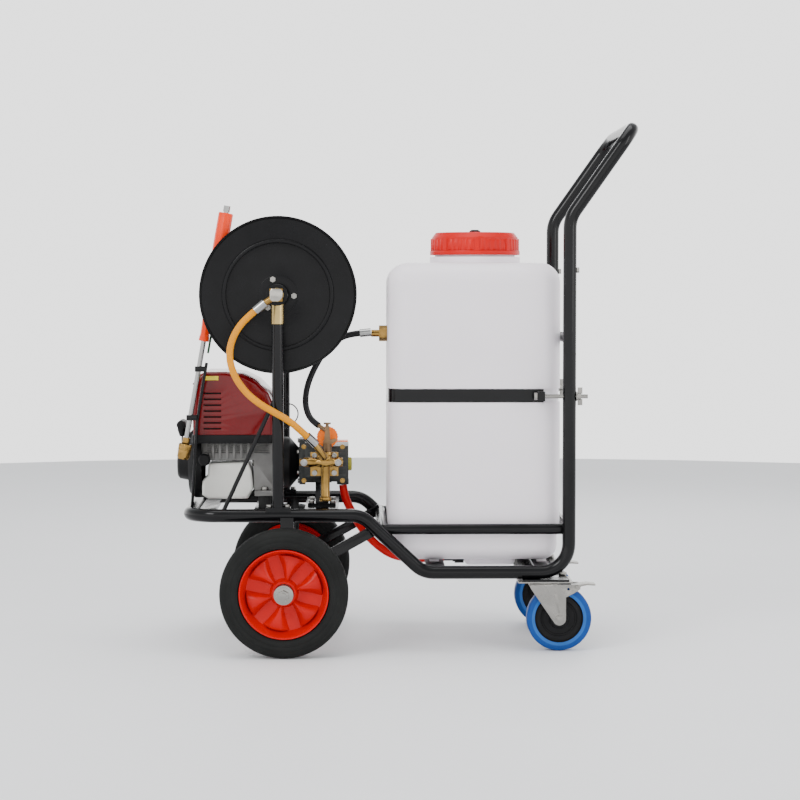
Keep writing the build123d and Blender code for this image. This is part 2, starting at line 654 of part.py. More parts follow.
fuel_outline = [
    (-381, 352), (-304, 354), (-297, 336), (-293.6, 302), (-304, 283), (-382, 282), (-394, 290),
    (-394, 318), (-383, 328),
]
fuel_inside = [
    (-378.5, 349.5), (-305.5, 351.5), (-299.5, 336), (-296.2, 302.5), (-305.5, 285.5), (-381, 284.5),
    (-391.5, 291.5), (-391.5, 316.5), (-380.5, 327),
]
fuel_half_y = 60.0
fuel_cap_x = -340.0
fuel_cap_z = 330.0
with BuildPart() as fuel_tank:
    side_outline(fuel_outline, -fuel_half_y, fuel_half_y)
    fillet(fuel_tank.faces().sort_by(Axis.Y)[0].edges(), 6)
    fillet(fuel_tank.faces().sort_by(Axis.Y)[-1].edges(), 6)
    ring((fuel_cap_x, fuel_half_y - 1, fuel_cap_z), (0, 1, 0), 14, 0, 9)
    side_outline(fuel_inside, -fuel_half_y + 2.5, fuel_half_y - 2.5, mode=Mode.SUBTRACT)
    ring((fuel_cap_x, fuel_half_y - 8, fuel_cap_z), (0, 1, 0), 11, 0, 20, mode=Mode.SUBTRACT)
fuel_tank.part.label = "fuel_tank"
export_step(fuel_tank.part, "parts/fuel_tank.step")

with BuildPart() as fuel_cap:
    turned([(-6, 0), (-6, 10.9), (0.3, 10.9), (0.3, 20), (12, 19), (15, 15), (15, 0)],
           (fuel_cap_x, fuel_half_y + 8, fuel_cap_z), (0, 1, 0))
fuel_cap.part.label = "fuel_cap"
export_step(fuel_cap.part, "parts/fuel_cap.step")

with BuildPart() as oil_filler_cap:
    turned([(0, 0), (0, 12), (9, 12), (12, 9), (12, 0)], (-388, -72.3, 361), (0, -1, 0))
oil_filler_cap.part.label = "oil_filler_cap"
export_step(oil_filler_cap.part, "parts/oil_filler_cap.step")

with BuildPart() as engine_mounts:
    for sign in (-1, 1):
        ring((mount_x, sign * mount_y, deck_top_z), (0, 0, 1), 12.5, 0, mount_top_z - deck_top_z)
engine_mounts.part.label = "engine_mounts"
export_step(engine_mounts.part, "parts/engine_mounts.step")

with BuildPart() as muffler:
    rounded_prism((-352, 58, 361), (-282, 88, 391), 10)
    block((-330, case_half_y, 366), (-304, 59, 386))
    rod((-345, 84, 376), (-345, 97, 376), 6)
    rod((-345, 84, 376), (-345, 98, 376), 4, mode=Mode.SUBTRACT)
muffler.part.label = "muffler"
export_step(muffler.part, "parts/muffler.step")

# Crankshaft line: starter pulley, clutch drum and the shaft that drives the pump.
pump_face_x = -204.0
with BuildPart() as drive_shaft:
    rod((-298, 0, crank_axis_z), (-196, 0, crank_axis_z), shaft_radius)
    turned([(0, 0), (0, 38), (14, 38), (14, 34), (4, 34), (4, 0)], (-245, 0, crank_axis_z), (1, 0, 0))
    turned([(0, 6), (0, pulley_radius), (3, pulley_radius), (5, pulley_radius - 5),
            (8, pulley_radius), (11, pulley_radius), (11, 6)], (-422, 0, crank_axis_z), (-1, 0, 0))
    rod((-396, 0, crank_axis_z), (-434, 0, crank_axis_z), 6)
drive_shaft.part.label = "drive_shaft"
export_step(drive_shaft.part, "parts/drive_shaft.step")

# ---- Pump ------------------------------------------------------------------
manifold_y = -128.0
manifold_z = 360.0
column_x = -151.0
suction_x = -118.0
flange_bolt_circle = 40.2
with BuildPart() as pump_body:
    end_outline([(-46, 322), (-30, 308), (30, 308), (46, 322), (46, 384), (30, 398), (-30, 398), (-46, 384)],
                pump_face_x, -192)
    end_outline([(-66, 326), (-54, 314), (54, 314), (66, 326), (66, 380), (54, 392), (-54, 392), (-66, 380)],
                -192, -140)
    block((-140, -60, 316), (-107, 60, 386))
    for z in (326, 340, 354, 368):
        block((-136, -63, z), (-111, 63, z + 6))
    block((-182, -104, 334), (-126, -60, 376))
    ring((suction_x, outlet_y, 307.3), (0, 0, 1), 12, 0, 11)
    rod((-206, 0, crank_axis_z), (-190, 0, crank_axis_z), shaft_radius + running_gap, mode=Mode.SUBTRACT)
    rod((-110, -20, 348), (-106, -20, 348), 10.5, mode=Mode.SUBTRACT)
pump_body.part.label = "pump_body"
export_step(pump_body.part, "parts/pump_body.step")

with BuildPart() as pump_manifold:
    block((-180, -112, 332), (-126, -104, 378))
    turned([(-8, 0), (-8, 7), (0, 7), (0, 9), (12, 10), (24, 8), (34, 10.5), (50, 10.5), (58, 8), (68, 10),
            (76, 8), (76, 0)], (-193, manifold_y, manifold_z), (1, 0, 0))
    rod((column_x, -106, manifold_z), (column_x, manifold_y, manifold_z), 10)
    turned([(0, 0), (0, 11.5), (7, 11.5), (9, 8.75), (66, 8.75), (70, 11), (78, 11), (78, 0)],
           (column_x, manifold_y, 285), (0, 0, 1))
    turned([(0, 0), (0, 8), (12, 8), (14, 10), (20, 10), (20, 0)], (-147, manifold_y, manifold_z), (0, 0, 1))
pump_manifold.part.label = "pump_manifold"
export_step(pump_manifold.part, "parts/pump_manifold.step")

# Bolts, screws and nuts of the frame, casters, strap, engine and pump.
foot_bolt_x = 17.0
with BuildPart() as fasteners:
    for sign in (-1, 1):
        y = sign * rail_y
        for x in (reel_post_x - foot_bolt_x, reel_post_x + foot_bolt_x):
            hexagon((x, y, platform_z + 16), (0, 0, 1), 9, 5)
        hexagon((post_x + tube_radius, y, 730), (1, 0, 0), 9, 5)
        for dx in (-bolt_spread_x / 2, bolt_spread_x / 2):
            for dy in (-bolt_spread_y / 2, bolt_spread_y / 2):
                x = caster_x + dx
                y_bolt = sign * caster_y + dy
                length = 7 if dy * sign > 0 else 15
                turned([(0, 0), (0, 7), (3, screw_radius), (length, screw_radius), (length, 0)],
                       (x, y_bolt, caster_plate_top_z - 3), (0, 0, 1))
                if length > 7:
                    hexagon((x, y_bolt, caster_plate_top_z + 4), (0, 0, 1), 13, 6.5)
    for sign in (-1, 1):
        y = sign * strap_rod_y
        rod((strap_end_x - lug_length - 6, y, strap_z), (post_x + 35, y, strap_z), strap_rod_radius)
        hexagon((strap_end_x - lug_length - 6, y, strap_z), (1, 0, 0), 12, 6)
        ring((post_x + tube_radius, y, strap_z), (1, 0, 0), 9, strap_rod_radius, 2)
        hexagon((post_x + tube_radius + 2, y, strap_z), (1, 0, 0), 13, 7)
        for wing in (-1, 1):
            block((post_x + tube_radius + 3, y - 1.5, strap_z + min(wing * 5, wing * 17)),
                  (post_x + tube_radius + 12, y + 1.5, strap_z + max(wing * 5, wing * 17)))
    for x in (-172, -134):
        for z in (338, 372):
            ring((x, -112, z), (0, -1, 0), 5, 0, 6)
            hexagon((x, -118.1, z), (0, 1, 0), 5, 3, mode=Mode.SUBTRACT)
    for angle in range(30, 390, 60):
        y = flange_bolt_circle * math.cos(math.radians(angle))
        z = 353 + flange_bolt_circle * math.sin(math.radians(angle))
        hexagon((pump_face_x, y, z), (-1, 0, 0), 8, 4)
    for sign in (-1, 1):
        hexagon((mount_x, sign * mount_y, 300), (0, 0, 1), 13, 6)
        hexagon((-180, sign * 36, deck_top_z + 6), (0, 0, 1), 10, 5)
        hexagon((-138, sign * 36, deck_top_z + 6), (0, 0, 1), 10, 5)
fasteners.part.label = "fasteners"
export_step(fasteners.part, "parts/fasteners.step")

with BuildPart() as oil_sight_glass:
    turned([(0, 0), (0, 10.4), (3, 10.4), (3, 13), (8, 13), (10, 10), (10, 0)], (-110, -20, 348), (1, 0, 0))
oil_sight_glass.part.label = "oil_sight_glass"
export_step(oil_sight_glass.part, "parts/oil_sight_glass.step")

# Pressure regulator: bronze body and yoke, orange hand disc, bypass tail.
knob_z = 408.0
regulator_x = -147.0
bypass_end = (-164.0, -125.0, 431.0)
with BuildPart() as regulator_body:
    ring((regulator_x, manifold_y, 380), (0, 0, 1), 8.5, 0, 18)
    block((regulator_x - 8, manifold_y - 9, 396), (regulator_x + 8, manifold_y + 9, 403))
    side_outline([(-156, 396), (-138, 396), (-128, 402), (-131, 407), (-141, 404), (-143, 430), (-151, 430),
                  (-153, 404)], manifold_y - 9, manifold_y - 4)
    ring((regulator_x, manifold_y - 6.5, 430), (0, 0, 1), 3, 0, 4)
    ring((regulator_x, manifold_y - 6.5, 434), (0, 0, 1), 7, 0, 3)
    rod((regulator_x, manifold_y - 4, knob_z), (regulator_x, manifold_y + 16, knob_z), 4)
    rod((-149, manifold_y - 6, 421), bypass_end, 4)
regulator_body.part.label = "regulator_body"
export_step(regulator_body.part, "parts/regulator_body.step")

with BuildPart() as regulator_knob:
    turned([(0, 4 + running_gap), (0, 7), (1, 8), (1, 17), (0, 18), (0, 20), (7, 20), (8, 18),
            (8, 4 + running_gap)],
           (regulator_x, manifold_y + 9.4, knob_z), (0, 1, 0))
regulator_knob.part.label = "regulator_knob"
export_step(regulator_knob.part, "parts/regulator_knob.step")

# ---- Hose reel -------------------------------------------------------------
reel_rim_y = 140.0
reel_collar_y = 178.0
reel_bolt_circle = 31.0
reel_bolt_angles = (108, -4, 232)
reel_profile = [
    (0, reel_shaft_radius), (0, 101), (5, 106), (5, 145), (3.5, 148), (5, reel_radius), (8.5, reel_radius),
    (9.5, 148), (7, 145.5), (7, 105.5), (2, 100.5), (2, 38), (5, 38), (5, reel_shaft_radius),
]
with BuildPart() as reel_discs:
    for sign in (-1, 1):
        turned(reel_profile, (reel_x, sign * reel_rim_y, reel_z), (0, sign, 0))
reel_discs.part.label = "reel_discs"
export_step(reel_discs.part, "parts/reel_discs.step")

thread_quarter = 6.58
with BuildPart() as reel_drum:
    rod((reel_x, -reel_rim_y, reel_z), (reel_x, reel_rim_y, reel_z), reel_drum_radius, reel_drum_radius - 2)
    for sign in (-1, 1):
        ring((reel_x, sign * (reel_rim_y - 3), reel_z), (0, sign, 0), reel_drum_radius - 1, 0, 3)
    rod((reel_x, -204, reel_z), (reel_x, 214, reel_z), reel_shaft_radius)
    rod((reel_x, -216, reel_z), (reel_x, -204, reel_z), 5)
    hexagon((reel_x, -95, reel_z + reel_drum_radius - 2), (0, 0, 1), 17, 12)
    ring((reel_x, -95, reel_z + reel_drum_radius + 10), (0, 0, 1), thread_quarter, 0, 12)
    for sign in (-1, 1):
        for angle in reel_bolt_angles:
            x = reel_x + reel_bolt_circle * math.cos(math.radians(angle))
            z = reel_z + reel_bolt_circle * math.sin(math.radians(angle))
            hexagon((x, sign * (reel_rim_y + 5), z), (0, sign, 0), 10, 6)
reel_drum.part.label = "reel_drum"
export_step(reel_drum.part, "parts/reel_drum.step")

with BuildPart() as reel_collars:
    for sign in (-1, 1):
        rod((reel_post_x, sign * rail_y, reel_post_top_z), (reel_post_x, sign * rail_y, 672), 12.5)
        ring((reel_x, sign * reel_collar_y, reel_z), (0, sign, 0), 20, 0, 24)
        ring((reel_x, sign * (reel_collar_y - 1), reel_z), (0, sign, 0),
             reel_shaft_radius + running_gap, 0, 26,
             mode=Mode.SUBTRACT)
reel_collars.part.label = "reel_collars"
export_step(reel_collars.part, "parts/reel_collars.step")

crank_angle = 60.0
crank_length = 100.0
crank_tip_x = reel_x + crank_length * math.cos(math.radians(crank_angle))
crank_tip_z = reel_z + crank_length * math.sin(math.radians(crank_angle))
crank_plane = Plane(origin=(reel_x, 206, reel_z), z_dir=(0, 1, 0),
                    x_dir=(math.cos(math.radians(crank_angle)), 0, math.sin(math.radians(crank_angle))))
with BuildPart() as crank_arm:
    with BuildSketch(crank_plane) as arm:
        with BuildLine():
            Polyline((0, -14), (crank_length, -10), (crank_length, 10), (0, 14), close=True)
        make_face()
        Circle(16)
        with Locations((crank_length, 0)):
            Circle(11)
    extrude(arm.sketch, amount=6)
    ring((reel_x, 206, reel_z), (0, 1, 0), 16, 0, 8)
    ring((reel_x, 200, reel_z), (0, 1, 0), reel_shaft_radius, 0, 20, mode=Mode.SUBTRACT)
    rod((crank_tip_x, 210, crank_tip_z), (crank_tip_x, 285, crank_tip_z), 5)
    ring((crank_tip_x, 284, crank_tip_z), (0, 1, 0), 8, 0, 3)
crank_arm.part.label = "crank_arm"
export_step(crank_arm.part, "parts/crank_arm.step")

with BuildPart() as crank_grip:
    turned([(0, 5 + running_gap), (0, 10), (4, 12), (30, 14), (60, 12), (67, 10), (71, 7),
            (71, 5 + running_gap)],
           (crank_tip_x, 212.5, crank_tip_z), (0, 1, 0))
crank_grip.part.label = "crank_grip"
export_step(crank_grip.part, "parts/crank_grip.step")

# ---- Spray gun, its holder and the other equipment brackets ----------------------------------------------
gun_y = -120.0
gun_top = (-341.0, gun_y, 840.0)
gun_foot = (-426.0, gun_y, 366.0)
gun_length = math.dist(gun_top, gun_foot)
gun_dir = tuple((b - a) / gun_length for a, b in zip(gun_top, gun_foot))
lance_radius = 4.8
grip_split = 124.0
grip_end = 250.0
nozzle_start = gun_length - 30


def gun_point(distance):
    """Point on the gun's axis, measured down from the top of the grip."""
    return tuple(a + d * distance for a, d in zip(gun_top, gun_dir))


def gun_x(z):
    """Where the gun's axis stands at a height."""
    return gun_top[0] + (gun_top[2] - z) * gun_dir[0] / -gun_dir[2]


with BuildPart() as gun_lance:
    rod(gun_point(-14), gun_point(gun_length - 16), lance_radius)
    rod(gun_point(-14), gun_point(-2), thread_quarter)
gun_lance.part.label = "gun_lance"
export_step(gun_lance.part, "parts/gun_lance.step")

with BuildPart() as gun_rear_grip:
    turned([(0, lance_radius + running_gap), (0, 11), (2, 13), (grip_split - 12, 13), (grip_split - 8, 14.5),
            (grip_split - 1, 14.5), (grip_split - 1, lance_radius + running_gap)], gun_top, gun_dir)
gun_rear_grip.part.label = "gun_rear_grip"
export_step(gun_rear_grip.part, "parts/gun_rear_grip.step")

with BuildPart() as gun_front_grip:
    turned([(grip_split, lance_radius), (grip_split, 13.5), (grip_split + 8, 12.5), (grip_end - 14, 11.5),
            (grip_end - 4, 10.5), (grip_end, 8), (grip_end, lance_radius)], gun_top, gun_dir)
gun_front_grip.part.label = "gun_front_grip"
export_step(gun_front_grip.part, "parts/gun_front_grip.step")

with BuildPart() as gun_nozzle:
    turned([(nozzle_start - 12, lance_radius + running_gap), (nozzle_start - 12, 7), (nozzle_start - 2, 7.5),
            (nozzle_start, 6.5), (nozzle_start + 8, 6.5), (nozzle_start + 12, 12.4),
            (nozzle_start + 26, 12.4),
            (nozzle_start + 30, 10), (nozzle_start + 30, 1.5), (nozzle_start + 15, 1.5),
            (nozzle_start + 15, lance_radius + running_gap)], gun_top, gun_dir)
gun_nozzle.part.label = "gun_nozzle"
export_step(gun_nozzle.part, "parts/gun_nozzle.step")

holder_gap = 13.0
clip_heights = (446.0, 540.0)
with BuildPart() as equipment_brackets:
    side_outline([(-396, 277), (-303, 277.5), (-290, 296), (-290, 299.9), (-293.3, 299.9), (-304.5, 281.5),
                  (-382, 281), (-392, 287)], -14, 14)
    block((-187, -44, deck_top_z), (-132, 44, deck_top_z + 6))
    block((-172, -28, deck_top_z + 5), (-146, 28, 314))
    bent_tube([(bow_x + 2, gun_y, platform_z + 9), (gun_x(446) + holder_gap, gun_y, 436),
               (gun_x(552) + holder_gap, gun_y, 552)], [80], 3)
    add(tube_outline.part, mode=Mode.SUBTRACT)
    for z in clip_heights:
        x = gun_x(z)
        block((x - 7, gun_y - 9, z - 5), (x + holder_gap, gun_y + 9, z + 5))
        block((x - 8, gun_y - 5.6, z - 6), (x + 1, gun_y + 5.6, z + 6), mode=Mode.SUBTRACT)
        ring((x + 1, gun_y, z - 6), (0, 0, 1), 5.6, 0, 12, mode=Mode.SUBTRACT)
equipment_brackets.part.label = "equipment_brackets"
export_step(equipment_brackets.part, "parts/equipment_brackets.step")

# ---- Hoses, their ferrules and fittings --------------------------------------
feed_radius = 6.75
return_radius = 6.0
suction_radius = 8.0
lead_radius = 1.25
feed_route = [
    (-281, -226, 653), (-298, -226, 639), (-313, -226, 621), (-325, -226, 598), (-330, -226, 572),
    (-326, -224, 545), (-314, -221, 519), (-296, -218, 496), (-273, -215, 477), (-247, -212, 462),
    (-221, -208, 447), (-202, -199, 431), (-185, -188, 414),
]
return_route = [
    (-84, return_y, return_z), (-102, -40, 605), (-119, -41, 599.5), (-135, -43, 590), (-150, -46, 576),
    (-163, -51, 557), (-175, -57, 535), (-185, -65, 511), (-190, -75, 488), (-190, -87, 467),
    (-184, -100, 449), (-175, -113, 438), bypass_end,
]
suction_route = [
    (82, outlet_y, outlet_z), (60, -15, 160), (38, -16, 159), (16, -16, 160), (-6, -17, 162),
    (-26, -17, 169), (-44, -18, 181), (-61, -18, 196), (-76, -18, 213), (-89, -17, 232), (-100, -16, 252),
    (-109, -16, 270), (-115.2, outlet_y, 288), (suction_x, outlet_y, 306),
]
lead_route = [
    (-248.6, 60, 456), (-239, 60, 461), (-229, 60, 463.5), (-218, 60, 461), (-210, 60, 452), (-208, 60, 441),
    (-212, 60, 430), (-221, 60, 421), (-232, 60, 413), (-242, 60, 406), (-249.6, 60, 402),
]


def bend_radii(points):
    """Largest tangent arc at each corner: 0.45 of the shorter run over tan(half the turn)."""
    radii = []
    for a, b, c in zip(points, points[1:], points[2:]):
        before = Vector(*b) - Vector(*a)
        after = Vector(*c) - Vector(*b)
        half_turn = math.radians(before.get_angle(after)) / 2
        radii.append(0.45 * min(before.length, after.length) / math.tan(half_turn))
    return radii


def toward(start, through, distance):
    """Point at a distance from a start, towards another point."""
    step = Vector(*through) - Vector(*start)
    return tuple(Vector(*start) + step.normalized() * distance)


with BuildPart() as feed_hose:
    bent_tube(feed_route, bend_radii(feed_route), feed_radius)
feed_hose.part.label = "feed_hose"
export_step(feed_hose.part, "parts/feed_hose.step")

with BuildPart() as return_hose:
    bent_tube(return_route, bend_radii(return_route), return_radius)
return_hose.part.label = "return_hose"
export_step(return_hose.part, "parts/return_hose.step")

with BuildPart() as suction_hose:
    bent_tube(suction_route, bend_radii(suction_route), suction_radius)
suction_hose.part.label = "suction_hose"
export_step(suction_hose.part, "parts/suction_hose.step")

with BuildPart() as engine_lead:
    bent_tube(lead_route, bend_radii(lead_route), lead_radius)
engine_lead.part.label = "engine_lead"
export_step(engine_lead.part, "parts/engine_lead.step")

for name, route, radius in (("feed_hose", feed_route, feed_radius),
                            ("return_hose", return_route, return_radius),
                            ("suction_hose", suction_route, suction_radius),
                            ("engine_lead", lead_route, lead_radius)):
    least = min(bend_radii(route)) / (2 * radius)
    length = FilletPolyline(*route, radius=bend_radii(route)).length
    print(f"{name}: length {length:.0f} mm, tightest bend {least:.1f} diameters")

feed_top_end = toward(feed_route[0], feed_route[1], -24)
feed_low_end = toward(feed_route[-1], feed_route[-2], -24)
with BuildPart() as hose_ferrules:
    rod(feed_top_end, feed_route[0], 9)
    rod(feed_low_end, feed_route[-1], 9)
    rod(toward(return_route[0], return_route[1], -22), return_route[0], 8)
hose_ferrules.part.label = "hose_ferrules"
export_step(hose_ferrules.part, "parts/hose_ferrules.step")

swivel_low_y = -236.0
with BuildPart() as brass_fittings:
    block((reel_x - 12, swivel_low_y, reel_z - 12), (reel_x + 12, -212, reel_z + 12))
    hexagon((reel_x, -212, reel_z), (0, 1, 0), 19, 7)
    ring((reel_x, -218, reel_z), (0, 1, 0), 5 + running_gap, 0, 16, mode=Mode.SUBTRACT)
    rod((reel_x - 4, -226, reel_z - 3), feed_top_end, 6.5)
    turned([(-8, 4), (-8, 7.9), (0, 7.9), (0, 15.5), (1, 15.5), (1, 7), (31, 7), (31, 4)],
           (tank_front_x, return_y, return_z), (-1, 0, 0))
    hexagon((tank_front_x, return_y, return_z), (-1, 0, 0), 27, 16)
    bent_tube([(-153, -138, 372), (-153, -163, 372), feed_low_end], [7], 6.5)
    hexagon((-153, -138, 372), (0, -1, 0), 17, 10)
    add(hose_ferrules.part, mode=Mode.SUBTRACT)
    add(pump_manifold.part, mode=Mode.SUBTRACT)
brass_fittings.part.label = "brass_fittings"
export_step(brass_fittings.part, "parts/brass_fittings.step")
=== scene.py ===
"""Wheeled sprayer cart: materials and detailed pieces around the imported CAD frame, in metres."""
import math

import bmesh
import bpy
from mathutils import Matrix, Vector


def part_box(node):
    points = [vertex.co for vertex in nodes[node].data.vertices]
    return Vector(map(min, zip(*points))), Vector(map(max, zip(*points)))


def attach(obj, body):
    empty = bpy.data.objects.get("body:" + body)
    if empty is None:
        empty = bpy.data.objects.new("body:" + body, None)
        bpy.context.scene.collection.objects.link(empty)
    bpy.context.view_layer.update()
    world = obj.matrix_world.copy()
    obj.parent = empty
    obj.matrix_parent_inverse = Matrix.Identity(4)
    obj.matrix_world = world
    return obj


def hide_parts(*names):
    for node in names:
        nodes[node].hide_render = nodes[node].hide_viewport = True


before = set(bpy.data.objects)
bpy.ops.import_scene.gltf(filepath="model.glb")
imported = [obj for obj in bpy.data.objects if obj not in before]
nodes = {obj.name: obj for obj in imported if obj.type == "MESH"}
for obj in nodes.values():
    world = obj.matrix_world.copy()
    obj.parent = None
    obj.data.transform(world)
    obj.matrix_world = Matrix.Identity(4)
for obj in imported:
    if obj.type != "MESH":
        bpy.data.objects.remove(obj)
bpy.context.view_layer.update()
MM = 0.001


# ---- Materials ---------------------------------------------------------------
def make_material(name, color, rough, metal=0.0, vary=0.12, vary_scale=30.0, rough_vary=0.08,
                  grain=0.15, grain_scale=1500.0, coat=0.0, subsurface=0.0, gloss=0.3):
    """Principled surface whose colour, roughness and bump come from object-space noise."""
    mat = bpy.data.materials.new(name)
    mat.use_nodes = True
    tree = mat.node_tree
    links = tree.links
    shader = tree.nodes["Principled BSDF"]
    shader.inputs["Metallic"].default_value = metal
    shader.inputs["Coat Weight"].default_value = coat
    shader.inputs["Coat Roughness"].default_value = 0.12
    shader.inputs["Specular IOR Level"].default_value = gloss
    if subsurface > 0:
        shader.inputs["Subsurface Weight"].default_value = subsurface
        shader.inputs["Subsurface Radius"].default_value = (0.02, 0.016, 0.018)
        shader.inputs["Subsurface Scale"].default_value = 0.6
    coords = tree.nodes.new("ShaderNodeTexCoord")

    broad = tree.nodes.new("ShaderNodeTexNoise")
    broad.inputs["Scale"].default_value = vary_scale
    broad.inputs["Detail"].default_value = 6.0
    links.new(coords.outputs["Object"], broad.inputs["Vector"])
    ramp = tree.nodes.new("ShaderNodeValToRGB")
    dark = [c * (1 - vary) for c in color]
    light = [min(1.0, c * (1 + vary)) for c in color]
    ramp.color_ramp.elements[0].position = 0.3
    ramp.color_ramp.elements[0].color = (*dark, 1)
    ramp.color_ramp.elements[1].position = 0.7
    ramp.color_ramp.elements[1].color = (*light, 1)
    links.new(broad.outputs["Fac"], ramp.inputs["Fac"])
    links.new(ramp.outputs["Color"], shader.inputs["Base Color"])

    spread = tree.nodes.new("ShaderNodeMapRange")
    spread.inputs["To Min"].default_value = max(0.03, rough - rough_vary)
    spread.inputs["To Max"].default_value = min(1.0, rough + rough_vary)
    smudge = tree.nodes.new("ShaderNodeTexNoise")
    smudge.inputs["Scale"].default_value = vary_scale * 2.3
    smudge.inputs["Detail"].default_value = 4.0
    links.new(coords.outputs["Object"], smudge.inputs["Vector"])
    links.new(smudge.outputs["Fac"], spread.inputs["Value"])
    links.new(spread.outputs["Result"], shader.inputs["Roughness"])

    fine = tree.nodes.new("ShaderNodeTexNoise")
    fine.inputs["Scale"].default_value = grain_scale
    fine.inputs["Detail"].default_value = 3.0
    bump = tree.nodes.new("ShaderNodeBump")
    bump.inputs["Strength"].default_value = grain
    bump.inputs["Distance"].default_value = 0.0004
    links.new(coords.outputs["Object"], fine.inputs["Vector"])
    links.new(fine.outputs["Fac"], bump.inputs["Height"])
    links.new(bump.outputs["Normal"], shader.inputs["Normal"])
    return mat


paint = make_material("black_powder_coat", (0.003, 0.003, 0.0035), 0.2, vary=0.25, grain=0.04,
                      grain_scale=500, coat=0.15, gloss=0.14)
reel_black = make_material("black_enamel", (0.0025, 0.0025, 0.003), 0.3, vary=0.3, grain=0.05,
                           grain_scale=400, coat=0.05, gloss=0.14)
tyre_rubber = make_material("tyre_rubber", (0.009, 0.0095, 0.009), 0.7, vary=0.3, vary_scale=18, grain=0.4,
                            gloss=0.14)
rim_red = make_material("rim_red", (0.5, 0.0, 0.0), 0.3, vary=0.06, grain=0.04, gloss=0.2)
zinc = make_material("zinc_plate", (0.27, 0.262, 0.245), 0.28, metal=1.0, vary=0.14, vary_scale=22,
                     grain=0.12,
                     rough_vary=0.1)
yellow_zinc = make_material("yellow_zinc", (0.42, 0.31, 0.13), 0.28, metal=1.0, vary=0.2, vary_scale=26)
chrome = make_material("chrome", (0.3, 0.3, 0.295), 0.12, metal=1.0, vary=0.06, grain=0.03, rough_vary=0.05)
caster_blue = make_material("caster_blue", (0.001, 0.045, 0.22), 0.46, vary=0.12, grain=0.2, gloss=0.2)
caster_rim_blue = make_material("caster_light_blue", (0.006, 0.09, 0.34), 0.44, vary=0.1, grain=0.15)
caster_black = make_material("caster_nylon", (0.006, 0.006, 0.0065), 0.5, vary=0.2, grain=0.3, gloss=0.14)
tank_white = make_material("tank_polyethylene", (0.84, 0.78, 0.83), 0.36, vary=0.025, vary_scale=5,
                           grain=0.12, grain_scale=140, subsurface=0.25)
lid_red = make_material("lid_red", (0.5, 0.0, 0.0), 0.34, vary=0.06, grain=0.06, gloss=0.2)
black_plastic = make_material("black_plastic", (0.006, 0.006, 0.0065), 0.44, vary=0.2, grain=0.35,
                              grain_scale=1100, gloss=0.14)
cast_grey = make_material("cast_aluminium", (0.16, 0.157, 0.152), 0.46, metal=0.8, vary=0.16, grain=0.6,
                          grain_scale=900)
shroud_red = make_material("shroud_red", (0.12, 0.0, 0.001), 0.14, vary=0.1, grain=0.02, coat=0.15,
                           gloss=0.25)
fuel_white = make_material("fuel_tank_white", (0.68, 0.67, 0.63), 0.34, vary=0.05, grain=0.1, subsurface=0.25)
soft_black = make_material("mount_rubber", (0.014, 0.014, 0.014), 0.66, vary=0.2, grain=0.3, gloss=0.14)
pump_grey = make_material("pump_casting", (0.035, 0.037, 0.035), 0.44, metal=0.35, vary=0.25, grain=0.6,
                          grain_scale=1000, coat=0.15, gloss=0.2)
brass = make_material("brass", (0.28, 0.165, 0.045), 0.24, metal=1.0, vary=0.22, vary_scale=60, grain=0.12)
bronze = make_material("dark_bronze", (0.16, 0.1, 0.055), 0.38, metal=0.9, vary=0.3, vary_scale=50, grain=0.3)
orange = make_material("orange_plastic", (0.9, 0.16, 0.0), 0.34, vary=0.1, grain=0.15, gloss=0.2)
grip_orange = make_material("grip_orange", (0.72, 0.035, 0.0), 0.36, vary=0.05, grain=0.08, gloss=0.2)
sight = make_material("sight_yellow", (0.42, 0.38, 0.02), 0.28, vary=0.12, grain=0.08, coat=0.3)
hose_yellow = make_material("hose_yellow", (0.62, 0.235, 0.0), 0.42, vary=0.05, grain=0.08, gloss=0.2)
hose_black = make_material("hose_black", (0.013, 0.013, 0.014), 0.38, vary=0.2, grain=0.2, gloss=0.14)
hose_red = make_material("hose_red", (0.5, 0.0, 0.0), 0.38, vary=0.1, grain=0.15, gloss=0.2)
muffler_steel = make_material("muffler_steel", (0.3, 0.28, 0.26), 0.42, metal=1.0, vary=0.25, vary_scale=40)
label_yellow = make_material("blank_label", (0.75, 0.6, 0.03), 0.4, vary=0.04, grain=0.05)
mesh_black = make_material("strainer_plastic", (0.03, 0.03, 0.03), 0.5, vary=0.15, grain=0.2, gloss=0.14)

